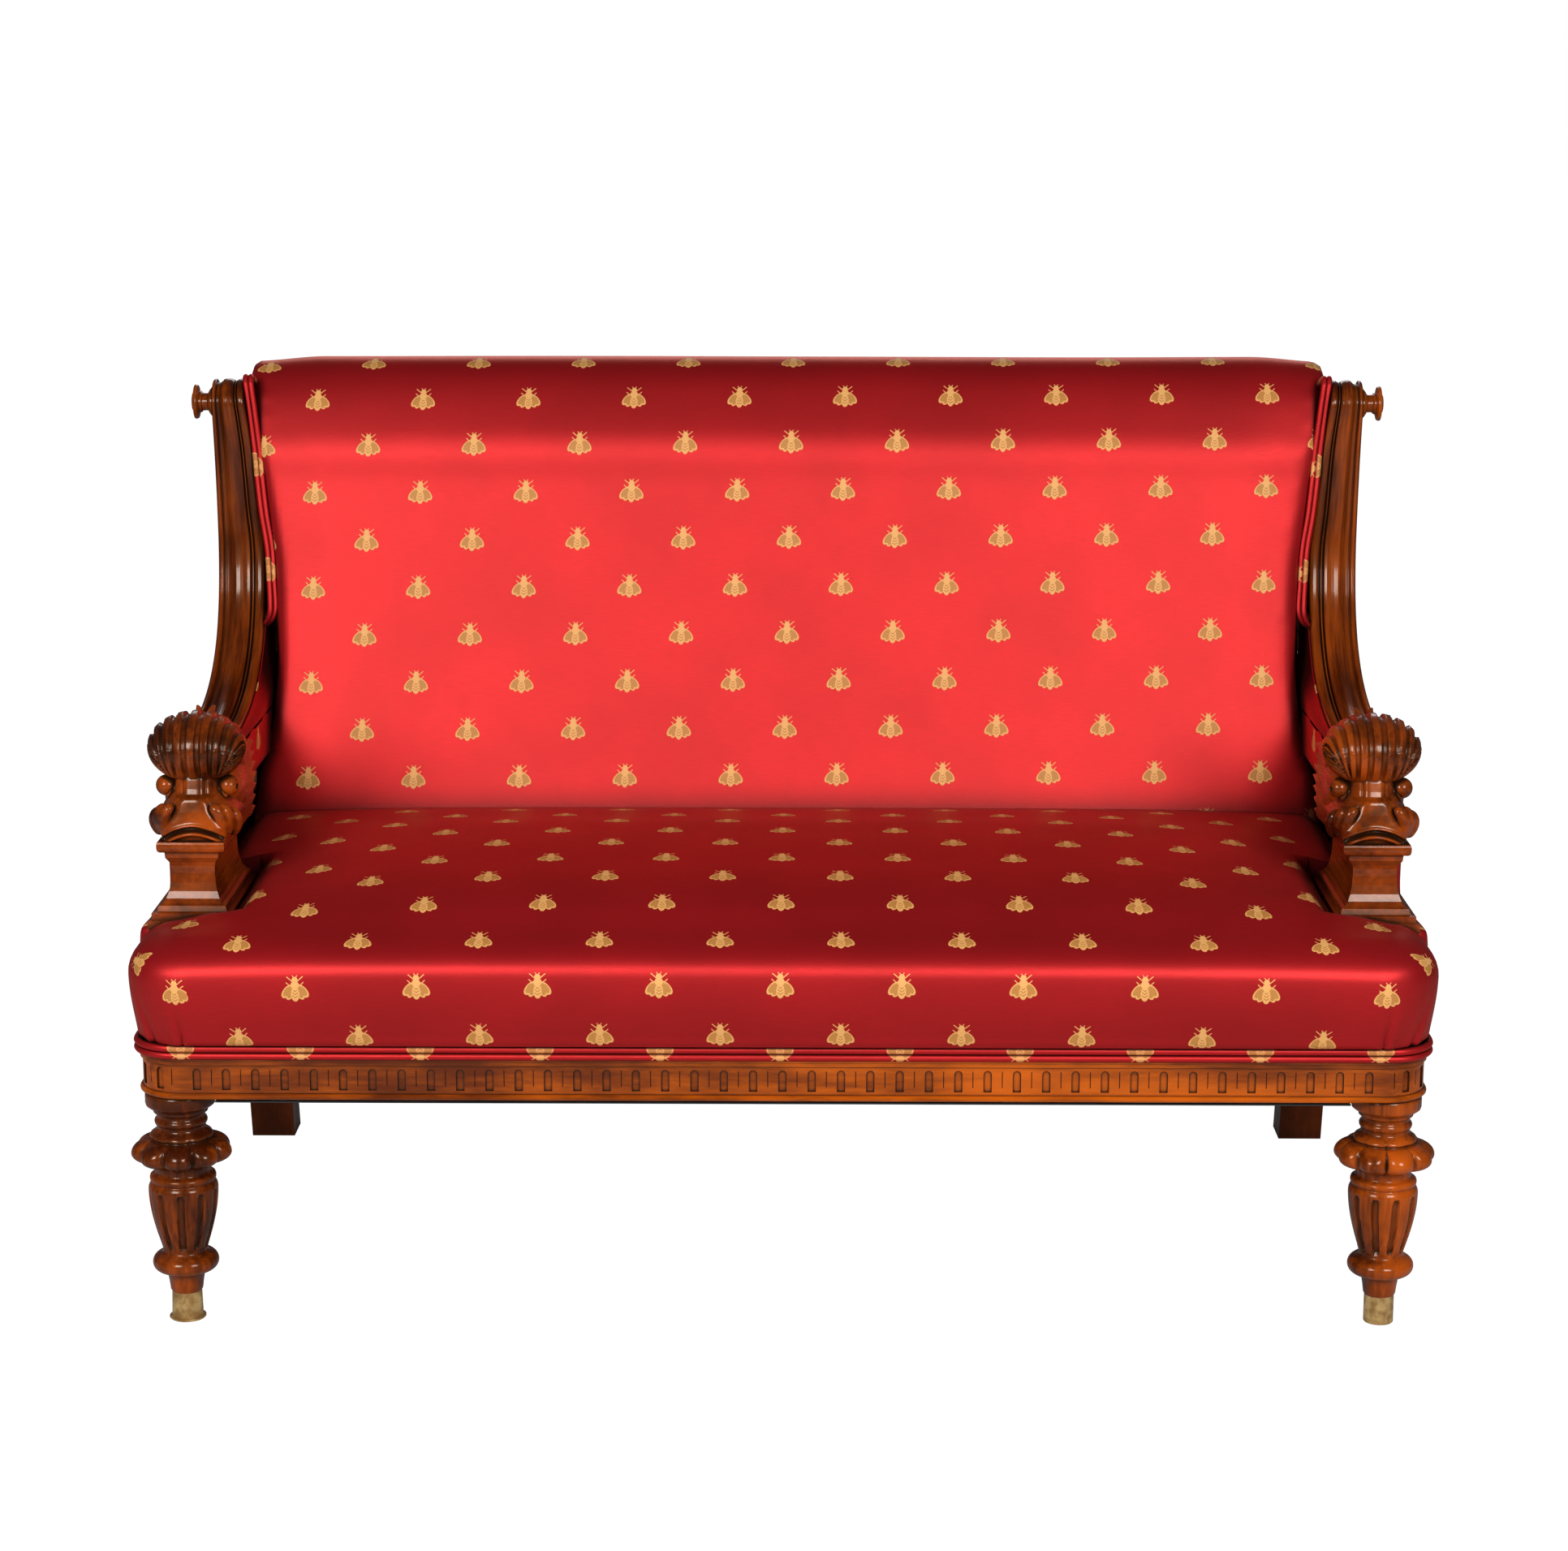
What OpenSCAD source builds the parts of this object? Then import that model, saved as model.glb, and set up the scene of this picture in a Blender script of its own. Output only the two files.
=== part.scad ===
// Scroll-back two-seat settee: carved show wood, turned front legs, stuffed-over seat and back.
// Millimetres. +Z up, the front faces -Y, +X is the viewer's right, origin on the floor under the middle.

/* [Seat frame] */
// Width over the show-wood seat rails
rail_w = 1400; // [1300:10:1520]
// From the front rail's face to the middle of the frame
rail_front = 354; // [340:1:370]
// Height of the front legs, under the rails
leg_h = 262; // [240:1:300]
// Height of the show-wood seat rails
rail_h = 50; // [44:1:60]
// Thickness of the seat rails
rail_t = 34; // [28:1:40]
// Radius of the rounded front corners
corner_r = 52; // [45:1:62]
// Side of the square corner blocks
block = 88; // [80:1:96]
// Width of a flute in the rail's frieze
flute_w = 9; // [6:0.5:12]
// Spacing of the flutes
flute_pitch = 31.5; // [26:0.5:40]
// Depth of a flute
flute_d = 2.5; // [1:0.5:4]
// Width of the chisel cut between two flutes
slit_w = 1; // [0.6:0.1:2]
// Length of the rail tenons
tenon = 26; // [18:1:34]

/* [Front legs] */
// Radius of the lobed knop
knop_r = 54; // [46:1:60]
// Number of lobes round the knop
lobes = 10; // [8:1:12]
// Radius of the vase at its widest
vase_r = 37; // [32:1:42]
// Number of flutes round the vase
vase_flutes = 10; // [8:1:12]
// Radius of the brass socket
socket_r = 16.3; // [14:0.1:20]
// Radius of the dowel on top of the leg
dowel_r = 12; // [9:0.5:16]

/* [Rear legs] */
// Width of a rear leg
rear_leg_w = 54; // [46:1:60]
// Depth of a rear leg at the floor
rear_leg_d = 52; // [44:1:60]
// How far the foot sweeps back behind the rail
sweep = 48; // [20:1:70]

/* [Arms] */
// Distance between the middles of the two arm members
arm_span = 1340; // [1240:10:1460]
// Width of the moulded arm member
arm_w = 57; // [50:1:64]
// Thickness of the arm member behind its moulding
arm_t = 42; // [36:1:50]
// Radius of the scroll on top of the post
scroll_r = 30; // [26:1:34]
// Height of the scroll's middle
scroll_z = 945; // [900:1:980]
// How far the turned boss stands out from the scroll
boss_l = 27; // [20:1:34]

/* [Dolphin heads] */
// Width of a head over its shell crest
head_w = 107; // [96:1:116]
// Height of a head
head_h = 146; // [130:1:160]
// Length of a head, front to back
head_l = 172; // [160:1:186]
// Number of reeds in the shell crest
reeds = 13; // [9:2:17]

/* [Plinths] */
// Distance between the middles of the two plinths
plinth_span = 1290; // [1250:2:1330]
// Height of the plinth above the seat's side
plinth_h = 95; // [80:1:110]
// Width of the plinth's cap
cap_w = 74; // [66:1:82]
// Depth of the plinth's cap
cap_d = 178; // [160:1:190]

/* [Upholstery] */
// How far the seat bulges past the front rail
seat_bulge = 34; // [20:1:46]
// How far the seat bulges past the side rails
side_bulge = 5; // [2:1:10]
// Height of the seat's crown
seat_z = 495; // [475:1:520]
// Height over the rolled top of the back
back_z = 1000; // [960:1:1040]
// Radius of the piping
welt_r = 4; // [3:0.5:5]
// Number of seat springs along the width
springs_x = 5; // [4:1:6]
// Number of curls in a spring
spring_curls = 4; // [3:1:5]

/* [Hidden] */

walnut = [0.42, 0.19, 0.06];
walnut_dark = [0.33, 0.13, 0.04];
beech = [0.78, 0.62, 0.42];
brass = [0.62, 0.48, 0.26];
satin = [0.78, 0.07, 0.11];
jute = [0.66, 0.53, 0.35];
steel = [0.45, 0.45, 0.47];
black_cloth = [0.08, 0.08, 0.08];

fit = 0.3;                                   // clearance of a soft piece or a turned joint
half_w = rail_w / 2;
front_y = -rail_front;
rail_z = leg_h;
rail_top = leg_h + rail_h;
leg_x = half_w - block / 2;
leg_y = front_y + block / 2;
block_x = half_w - block;
block_y = front_y + block;
lap_t = 12;                                  // thickness of the rail's lap over the corner block
lap_x = half_w - corner_r;                   // the joint that shows on the front
tenon_t = 10;
tenon_h = rail_h - 20;

arm_x = arm_span / 2;
arm_in = arm_x - arm_w / 2;
arm_out = arm_x + arm_w / 2;
plinth_x = plinth_span / 2;
scroll_y = 310;

welt_z = rail_top + welt_r;
welt_step = 1.75 * welt_r;                   // from one cord of the double piping to the next
tack_h = 2 * welt_r + welt_step;             // the tacking strip stands as high as the piping
pad_z = rail_top + tack_h + fit;             // underside of the stuffing's edge
plinth_z = 430;                              // underside of the plinth
cap_z = plinth_z + plinth_h;
cap_y = -260;                                // front of the plinth's cap
base_out = 10.5;                             // how far the plinth's base stands past its cap
base_front = cap_y - base_out;
base_back = cap_y + cap_d + base_out;
base_half = cap_w / 2 + base_out;
arm_start = cap_y + head_l - 5;
head_back = arm_start - 0.5;
arm_z = cap_z + 42;                          // middle of the arm behind the head
post_z = 770;                                // the post rises straight from here
stump_w = 42;
stump_out = half_w - rail_t;

rear_y = 288;                                // front face of the rear legs at the rail
stile_t = 34;                                // thickness of the back stiles at the top
rear_leg_in = arm_x - 12 - rear_leg_w / 2;
rear_leg_out = rear_leg_in + rear_leg_w;
rear_rail_t = 30;

hessian_z = 428;
seat_back_y = 170;                           // the seat ends where the back's lining tucks in
cavity_half = plinth_x - base_half - 21;     // hollow under the stuffing, for the springs
cavity_front = front_y + rail_t + 6;
cavity_back = seat_back_y - 10;
web_t = 1.6;
web_w = 50;

// A 2-D shape in (y, z), extruded along x.
module along_x(x0, x1) {
    translate([x0, 0, 0]) rotate([90, 0, 90]) linear_extrude(x1 - x0) children();
}

// A 2-D shape in (x, z), extruded along y.
module along_y(y0, y1) {
    translate([0, y1, 0]) rotate([90, 0, 0]) linear_extrude(y1 - y0) children();
}

// The piece as it is on the right, or mirrored to the left.
module on_side(side) {
    if (side == "left") mirror([1, 0, 0]) children();
    else children();
}

module box(x0, x1, y0, y1, z0, z1) {
    translate([x0, y0, z0]) cube([x1 - x0, y1 - y0, z1 - z0]);
}

// A closed skin over rings of points, all rings the same length, with flat ends.
module skin(rings) {
    n = len(rings[0]);
    m = len(rings);
    points = [for (ring = rings) each ring];
    walls = [for (i = [0:m - 2]) for (j = [0:n - 1])
        let (a = i * n + j, b = i * n + (j + 1) % n)
        each [[a, b, b + n], [a, b + n, a + n]]];
    ends = [[for (j = [n - 1:-1:0]) j], [for (j = [0:n - 1]) (m - 1) * n + j]];
    polyhedron(points, concat(walls, ends), convexity = 8);
}

// A tube of a few sides along a route of points.
module tube(route, r, sides) {
    m = len(route);
    function dir(i) = let (d = route[min(i + 1, m - 1)] - route[max(i - 1, 0)]) d / norm(d);
    function ring(i) = let (
        t = dir(i),
        up = abs(t.x) > 0.9 ? [0, 0, 1] : [1, 0, 0],
        u = cross(t, up) / norm(cross(t, up)),
        v = cross(t, u))
        [for (k = [0:sides - 1]) let (a = -360 * k / sides)
            route[i] + r * (cos(a) * u + sin(a) * v)];
    skin([for (i = [0:m - 1]) ring(i)]);
}

// Seat rails
// Section of the show wood: distance in from the face, height above the rail's underside.
bead_r = 3.5;
frieze_in = 4;
// A tacking strip stands behind the rebate that the double piping lies in.
function rail_section() = [
    [rail_t, 0], [rail_t, rail_h + tack_h], [2 * welt_r + fit, rail_h + tack_h],
    [2 * welt_r + fit, rail_h], [0, rail_h], [0, rail_h - 6], [1.5, rail_h - 6],
    [1.5, rail_h - 11], [frieze_in, rail_h - 12], [frieze_in, 2 * bead_r],
    for (a = [90:-30:-90]) [bead_r - bead_r * cos(a) * 0.9, bead_r + bead_r * sin(a)]
];
frieze_mid = (rail_h - 12 + 2 * bead_r) / 2;
flute_h = 24;

slit_h = 18;
slit_d = 1.2;

// One flute, round at the top, cut from the frieze; it looks along +y.
module flute() {
    depth = flute_d + 1;
    translate([0, -1, (flute_h - flute_w) / 2])
        rotate([-90, 0, 0]) cylinder(h = depth, d = flute_w, $fn = 24);
    translate([-flute_w / 2, -1, -flute_h / 2]) cube([flute_w, depth, flute_h - flute_w / 2]);
}

// The thin upright cut midway between two flutes.
module slit() {
    translate([-slit_w / 2, -1, 2 - slit_h / 2]) cube([slit_w, slit_d + 1, slit_h]);
}

// Flutes and slits in turn, to both sides of the origin, count steps each way.
module frieze_row(count) {
    for (i = [-count:count]) translate([i * flute_pitch, 0, 0]) flute();
    for (i = [-count:count - 1]) translate([(i + 0.5) * flute_pitch, 0, 0]) slit();
}

module front_rail() {
    color(walnut) difference() {
        union() {
            along_x(-block_x, block_x) translate([front_y, rail_z]) polygon(rail_section());
            intersection() {
                along_x(-lap_x, lap_x) translate([front_y, rail_z]) polygon(rail_section());
                box(-lap_x, lap_x, front_y - 1, front_y + lap_t, rail_z, rail_top + tack_h);
            }
            box(-block_x - tenon, block_x + tenon, front_y + 18, front_y + 18 + tenon_t,
                rail_z + 10, rail_z + 10 + tenon_h);
        }
        translate([0, front_y + frieze_in, rail_z + frieze_mid])
            frieze_row(floor((lap_x - flute_w) / flute_pitch));
    }
}

module side_rail(side) {
    run = rear_y - block_y;
    color(walnut) on_side(side) difference() {
        union() {
            along_y(block_y, rear_y)
                polygon([for (p = rail_section()) [half_w - p[0], rail_z + p[1]]]);
            box(half_w - 28, half_w - 28 + tenon_t, block_y - tenon, rear_y + tenon - 6,
                rail_z + 10, rail_z + 10 + tenon_h);
        }
        translate([half_w - frieze_in, block_y + run / 2, rail_z + frieze_mid]) rotate([0, 0, 90])
            frieze_row(floor((run / 2 - flute_w) / flute_pitch));
    }
}

module rear_rail() {
    color(beech) {
        box(-rear_leg_in, rear_leg_in, rear_y + 8, rear_y + 8 + rear_rail_t, rail_z, rail_top + 12);
        box(-rear_leg_in - tenon + 4, rear_leg_in + tenon - 4, rear_y + 18, rear_y + 18 + tenon_t,
            rail_z + 10, rail_z + 10 + tenon_h);
    }
}

// The rail's section, filled in to the middle of the rounded corner.
function block_section() = concat([[corner_r, 0], [corner_r, rail_h], [rail_t, rail_h]],
    [for (i = [1:len(rail_section()) - 1]) rail_section()[i]]);

// A cut set on the rounded corner's frieze, at an angle about the corner's axis.
module on_corner(a) {
    translate([half_w - corner_r, front_y + corner_r, rail_z + frieze_mid]) rotate([0, 0, a])
        translate([corner_r - frieze_in, 0, 0]) rotate([0, 0, 90]) children();
}

module corner_block(side) {
    color(walnut) on_side(side) difference() {
        union() {
            translate([half_w - corner_r, front_y + corner_r, rail_z]) rotate([0, 0, -90])
                rotate_extrude(angle = 90, $fn = 72)
                    polygon([for (p = block_section()) [corner_r - p[0], p[1]]]);
            along_y(front_y + corner_r, block_y)
                polygon([for (p = block_section()) [half_w - p[0], rail_z + p[1]]]);
            box(block_x, half_w - corner_r, front_y + lap_t, block_y, rail_z, rail_top);
        }
        box(block_x - 1, block_x + tenon, front_y + 18, front_y + 18 + tenon_t,
            rail_z + 10, rail_z + 10 + tenon_h);
        box(half_w - 28, half_w - 28 + tenon_t, block_y - tenon, block_y + 1,
            rail_z + 10, rail_z + 10 + tenon_h);
        translate([leg_x, leg_y, rail_z - 1])
            cylinder(h = dowel_l + 2, r = dowel_r + fit / 2, $fn = 48);
        for (a = [-62, -28]) on_corner(a) flute();
        for (a = [-79, -45, -11]) on_corner(a) slit();
        translate([half_w - frieze_in, (front_y + corner_r + block_y) / 2, rail_z + frieze_mid])
            rotate([0, 0, 90]) flute();
    }
}

// Triangular blocks glued and screwed across the inner corners of the frame.
brace = 90;
brace_h = 34;
brace_x = min(rear_leg_in, half_w - rail_t);  // the rear braces' outer corner
module brace_prism(x, y, sx, sy) {
    translate([x, y, rail_z + 6]) linear_extrude(brace_h)
        polygon([[0, 0], [sx * brace, 0], [sx * brace, sy * 12], [sx * 12, sy * brace], [0, sy * brace]]);
}

module corner_braces() {
    color(beech) for (s = [-1, 1]) {
        brace_prism(s * (half_w - rail_t), block_y, -s, 1);
        brace_prism(s * brace_x, rear_y + 8, -s, -1);
    }
}

module brace_screws() {
    color(steel) for (s = [-1, 1]) {
        for (d = [-18, 18]) {
            translate([s * (half_w - rail_t - 42 + d), block_y + 42 + d, rail_z + 6 + brace_h])
                cylinder(h = 2.5, r = 5, $fn = 24);
            translate([s * (brace_x - 42 + d), rear_y + 8 - 42 - d, rail_z + 6 + brace_h])
                cylinder(h = 2.5, r = 5, $fn = 24);
        }
    }
}

// Front legs
socket_h = 32;
dowel_l = 30;
socket_wall = 2.2;
knop_z = 184;
// Turned outline of a leg: radius, height.
function leg_outline() = concat(
    [[0, 6], [socket_r - socket_wall - 0.2, 6], [socket_r - socket_wall - 0.2, socket_h],
     [socket_r + 0.4, socket_h], [19.5, 44], [26, 45.5]],
    [for (a = [-60:20:60]) [26.5 + 9 * cos(a), 57 + 12 * sin(a)]],
    [[25.5, 68.5], [23.6, 71]],
    [for (t = [0.15:0.17:1]) [23.6 + (vase_r - 23.6) * sin(90 * t), 71 + 71 * t]],
    [[vase_r - 0.5, 147], [33, 152], [34.7, 155], [34.7, 159], [29.5, 162], [knop_r - 20, 166]],
    [[knop_r - 16, knop_z], [knop_r - 21, 203], [33.5, 204], [33.5, 208], [26.5, 212], [26, 218],
     [28.3, 220], [28.3, 224], [26, 226]],
    [for (a = [-80:20:40]) [27 + 9.4 * cos(a), 238 + 9 * sin(a)]],
    [[34, leg_h - 18], [38, leg_h - 10], [38, leg_h], [dowel_r, leg_h], [dowel_r, leg_h + dowel_l],
     [0, leg_h + dowel_l]]
);

module front_leg(side, turn) {
    color(walnut_dark) on_side(side) translate([leg_x, leg_y, 0]) rotate([0, 0, turn]) difference() {
        union() {
            rotate_extrude($fn = 72) polygon(leg_outline());
            for (i = [0:lobes - 1]) rotate([0, 0, 360 * (i + 0.5) / lobes])
                translate([knop_r - 19, 0, knop_z]) sphere(r = 19, $fn = 36);
        }
        for (i = [0:vase_flutes - 1]) rotate([0, 0, 360 * i / vase_flutes - 90])
            vase_flute();
    }
}

// One flute down the vase: a leaning rod with round ends.
vase_lean = atan((vase_r - 23.6) / 71);
module vase_flute() {
    translate([24.8, 0, 78]) rotate([0, vase_lean, 0]) {
        cylinder(h = 58, r = 4, $fn = 24);
        sphere(r = 4, $fn = 24);
        translate([0, 0, 58]) sphere(r = 4, $fn = 24);
    }
}

module leg_socket(side, rim) {
    color(brass) on_side(side) translate([leg_x, leg_y, 0]) rotate_extrude($fn = 72)
        polygon(concat(
            [[socket_r - socket_wall, 0]],
            rim > 0 ? [[socket_r + rim - 1, 0], [socket_r + rim, 1], [socket_r + rim, 2.4],
                       [socket_r + 0.8, 4]] : [[socket_r - 0.6, 0], [socket_r, 0.8]],
            [[socket_r, socket_h], [socket_r - socket_wall, socket_h]]));
}

// Rear legs and stiles
// Side view: the foot sweeps back, the stile leans back to the scroll.
function foot_back(z) = sweep * pow(max(0, 1 - z / (rail_top - 18)), 1.7);
post_heel = scroll_y + 10 + arm_t / 2 + fit - rear_y;
stile_rows = [[rail_z, 0], [arm_z - 7, 2], [post_z - 130, 18], [post_z - 70, 46], [post_z - 50, post_heel],
              [scroll_z, post_heel]];
function stile_front(z) = rear_y + lookup(z, stile_rows);
stile_thick_rows = [[0, rear_leg_d], [rail_top, 50], [arm_z - 7, 66], [post_z - 50, stile_t],
                    [scroll_z, stile_t]];
stile_top = scroll_z - 5;
// Heights above the seat at which the stile's outline turns.
stile_zs = [rail_top + 102, (rail_top + arm_z) / 2 + 50, arm_z - 7, post_z - 170, post_z - 130, post_z - 90,
            post_z - 50, post_z + 30, post_z + 90];

module rear_leg(side) {
    heights = concat([for (z = [0:40:rail_top]) z], stile_zs, [stile_top]);
    color(walnut_dark) on_side(side) difference() {
        along_x(rear_leg_in, rear_leg_out) polygon(concat(
            [for (z = heights) [stile_front(z) + foot_back(z), z]],
            [for (i = [len(heights) - 1:-1:0]) let (z = heights[i])
                [stile_front(z) + foot_back(z) + lookup(z, stile_thick_rows), z]]));
        box(half_w - 28, half_w - 28 + tenon_t, rear_y - 1, rear_y + tenon - 6,
            rail_z + 10, rail_z + 10 + tenon_h);
        box(rear_leg_in - 1, rear_leg_in + tenon - 4, rear_y + 18, rear_y + 18 + tenon_t,
            rail_z + 10, rail_z + 10 + tenon_h);
    }
}

// Plinths
// Half section of the plinth's moulding: how far it stands from its waist, height.
function plinth_steps(top) = [
    [0, 0], [base_out, 0], [base_out, 9], [base_out - 4, 10], [base_out - 4, 17], [1, 18], [-0.5, 24],
    for (a = [0:18:90]) [-13 + 12.5 * (1 - sin(a)), 24 + 34 * (1 - cos(a))],
    [-13, 66], [-12, 70], [-8, 76], [-7.5, top - 13], [-3, top - 12], [-1, top - 10.5],
    for (a = [-60:30:60]) [-1.2 + 1.2 * cos(a), top - 5 + 5 * sin(a)],
    [-1, top], [-20, top]
];

module plinth_profile(half, top) {
    steps = plinth_steps(top);
    polygon(concat(
        [for (p = steps) [half + p[0], p[1]]],
        [for (i = [len(steps) - 1:-1:0]) [-half - steps[i][0], steps[i][1]]]));
}

stump_front = block_y + brace + fit;
stump_back = cap_y + cap_d - 14;
module plinth(side) {
    color(walnut) on_side(side) {
        intersection() {
            along_y(base_front, base_back) translate([plinth_x, plinth_z])
                plinth_profile(cap_w / 2, plinth_h);
            along_x(plinth_x - base_half, plinth_x + base_half)
                translate([cap_y + cap_d / 2, plinth_z]) plinth_profile(cap_d / 2, plinth_h);
        }
        box(stump_out - stump_w, stump_out, stump_front, stump_back, rail_z + 12, plinth_z + 0.01);
        // The base reaches over the stump, wherever the plinth stands.
        box(min(plinth_x - base_half, stump_out - 5), plinth_x, stump_front, stump_back,
            plinth_z, plinth_z + 9);
    }
}

// Arm members
// Moulding across the arm: share of the width from the outer side, depth below the crest.
arm_mould = [
    [0, 3], [0.04, 0.6], [0.09, 0], [0.14, 1], [0.155, 5], [0.2, 6.5], [0.25, 4], [0.33, 1.4],
    [0.43, 0.2], [0.53, 0.2], [0.63, 1.4], [0.71, 4], [0.74, 6.8], [0.79, 6.8], [0.805, 2], [0.86, 0],
    [0.93, 0], [1, 2.5]
];
function bezier(a, b, c, d, t) = pow(1 - t, 3) * a + 3 * t * pow(1 - t, 2) * b
    + 3 * t * t * (1 - t) * c + pow(t, 3) * d;
arm_steps = 13;
scroll_steps = 11;
scroll_turn = 215;
arm_line = [for (i = [0:arm_steps]) bezier([arm_start, arm_z], [arm_start + 225, arm_z - 8],
        [scroll_y + 2, arm_z + 12], [scroll_y + 10, post_z], i / arm_steps)];
post_line = [for (i = [1:4]) let (t = i / 4)
    [scroll_y + 10 - (10 + scroll_r - arm_t / 2) * t * t, post_z + (scroll_z - post_z) * t]];
spine = concat(arm_line, post_line);

// Outward direction (up and to the front) across the spine at a point.
function across(i) = let (
    d = spine[min(i + 1, len(spine) - 1)] - spine[max(i - 1, 0)],
    u = d / norm(d)) [-u[1], u[0]];

function arm_ring(crest, heel) = let (n = len(arm_mould), u = (crest - heel) / norm(crest - heel))
    concat(
        [for (m = arm_mould) let (p = crest - m[1] * u) [arm_out - m[0] * arm_w, p[0], p[1]]],
        [[arm_in, heel[0], heel[1]], [arm_out, heel[0], heel[1]]]);

function arm_rings() = concat(
    [for (i = [0:len(spine) - 1]) let (u = across(i))
        arm_ring(spine[i] + u * arm_t / 2, spine[i] - u * arm_t / 2)],
    [for (k = [1:scroll_steps]) let (a = 180 - scroll_turn * k / scroll_steps,
            grow = 1 - 0.12 * k / scroll_steps)
        arm_ring([scroll_y + scroll_r * grow * cos(a), scroll_z + scroll_r * grow * sin(a)],
                 [scroll_y + 4 * cos(a) + 6 * (1 - k / scroll_steps), scroll_z + 4 * sin(a)])]);

module arm(side) {
    color(walnut) on_side(side) skin(arm_rings());
}

// Turned boss over the scroll's eye.
module scroll_boss(side) {
    color(walnut_dark) on_side(side) translate([arm_out, scroll_y, scroll_z]) rotate([0, 90, 0])
        rotate_extrude($fn = 48) polygon([
            [0, 0], [18, 0], [18, 3], [15, 5.5], [10.7, 8], [10.7, boss_l - 13], [13, boss_l - 11],
            [13, boss_l - 9], [20, boss_l - 7], [21, boss_l - 5], [20.5, boss_l - 3],
            [14, boss_l - 2], [10, boss_l], [0, boss_l]]);
}

// Dolphin heads
// The shell crest is a bulb with reeds that run from the brow over the top to the nape.
head_front = cap_y - 4;
crest_z = cap_z + head_h - 48;               // middle of the crest
crest_rows = [[0, 0.03], [0.02, 0.22], [0.06, 0.42], [0.14, 0.66], [0.26, 0.86], [0.4, 0.97], [0.52, 1],
              [0.66, 0.98], [0.78, 0.9], [0.88, 0.78], [0.96, 0.6], [1, 0.5]];
crest_len = head_l - 14;
reed_points = 4;

function crest_ring(row) = let (
    y = head_front + 10 + row[0] * crest_len,
    drop = 24 * pow(1 - row[0], 2.2),
    n = 2 * reeds * reed_points)
    [for (k = [0:n - 1]) let (
        a = 360 * k / n,
        wave = 1 - 0.045 * pow(abs(cos(a * reeds)), 3) * min(1, row[1] * 1.3),
        rx = head_w / 2 * row[1] * wave,
        rz = 48 * row[1] * wave * (sin(a) < 0 ? 0.72 : 1))
        [plinth_x + rx * cos(a), y, crest_z - drop + rz * sin(a)]];

// The face under the crest: rings going up, each an outline seen from above.
face_half_rows = [[0, 34], [8, 37], [20, 36], [30, 31], [40, 26], [47, 21], [50, 15], [60, 14], [74, 20]];
face_front_rows = [[0, 7], [6, 3], [14, 2], [24, 0], [38, 1], [47, 3], [50, 9], [60, 12], [74, 17]];
temple_rows = [[0, 40], [20, 42], [44, 38], [60, 34], [74, 40]];
face_top = 74;
face_steps = 20;
face_n = 8;                                  // points from the middle of the face to its corner
mouth_rise = 18;                             // the arched mouth, above the cap
mouth_half = 34;
mouth_d = 6;
eye_r = 11.5;
eye_at = [36, 38, 63];                       // from the middle of the snout's front, on the cap
lip_route = [[17, 9, 45], [25, 8, 44], [32, 11, 39], [37, 15, 30], [39, 19, 20], [37, 20, 10], [32, 18, 4]];
lip_radii = [3, 5.5, 7.5, 8.5, 8.5, 7, 4];
cheek_route = [[30, 34, 44], [38, 33, 38], [43, 36, 27], [44, 40, 15], [40, 40, 5]];
cheek_radii = [5, 8, 9, 8.5, 5];

function lerp(a, b, t) = a + (b - a) * t;

// Depth of the mouth's cut at a point of the face.
function mouth(x, z) = let (line = mouth_rise - 14 * pow(x / mouth_half, 2))
    mouth_d * exp(-pow((z - line) / 3.4, 2)) * max(0, 1 - pow(x / (mouth_half + 3), 4));

function face_ring(z) = let (
    half = lookup(z, face_half_rows),
    front = lookup(z, face_front_rows),
    row = [for (i = [-face_n:face_n]) let (x = half * i / face_n)
        [x, front + mouth(x, z) + 11 * pow(abs(i / face_n), 4)]],
    temple = lookup(z, temple_rows),
    flank = [[half + 2, 24], [lerp(half, temple, 0.75), 40], [temple, 58]])
    [for (p = concat(row, flank, [[temple, head_back - 22 - head_front], [temple - 8, head_back - head_front],
            [8 - temple, head_back - head_front], [-temple, head_back - 22 - head_front]],
            [for (i = [len(flank) - 1:-1:0]) [-flank[i].x, flank[i].y]]))
        [p.x, head_front + p.y, cap_z + z]];

// A tapering tube for the curled lips and cheeks, on the right or the left of the face.
module curl(route, radii, s) {
    sides = 8;
    m = len(route);
    points = [for (p = route) [s * p.x, head_front + p.y, cap_z + p.z]];
    function dir(i) = let (d = points[min(i + 1, m - 1)] - points[max(i - 1, 0)]) d / norm(d);
    function ring(i) = let (
        t = dir(i),
        u = cross(t, [0, 1, 0]) / norm(cross(t, [0, 1, 0])),
        v = cross(t, u))
        [for (k = [0:sides - 1]) let (a = -360 * k / sides)
            points[i] + radii[i] * (cos(a) * u + sin(a) * v)];
    skin([for (i = [0:m - 1]) ring(i)]);
}

mane_tips = 6;
mane_t = 8;
mane_x = 40;
mane_splay = 9;                              // degrees that the leaf stands off the head
module mane_leaf() {
    // Saw-edged leaf behind the cheek, seen from the side.
    tips = [for (i = [0:mane_tips - 1]) let (z = cap_z + 2 + i * 15)
        each [[head_back - 16 - 3 * abs(i - 2.5), z], [head_back - 1 - 4 * abs(i - 2.5), z + 11]]];
    along_x(-mane_t, 0) polygon(concat([[head_back - 60, cap_z + 2]], tips,
        [[head_back - 24, cap_z + 2 + mane_tips * 15], [head_back - 64, cap_z + mane_tips * 15]]));
}

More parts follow.
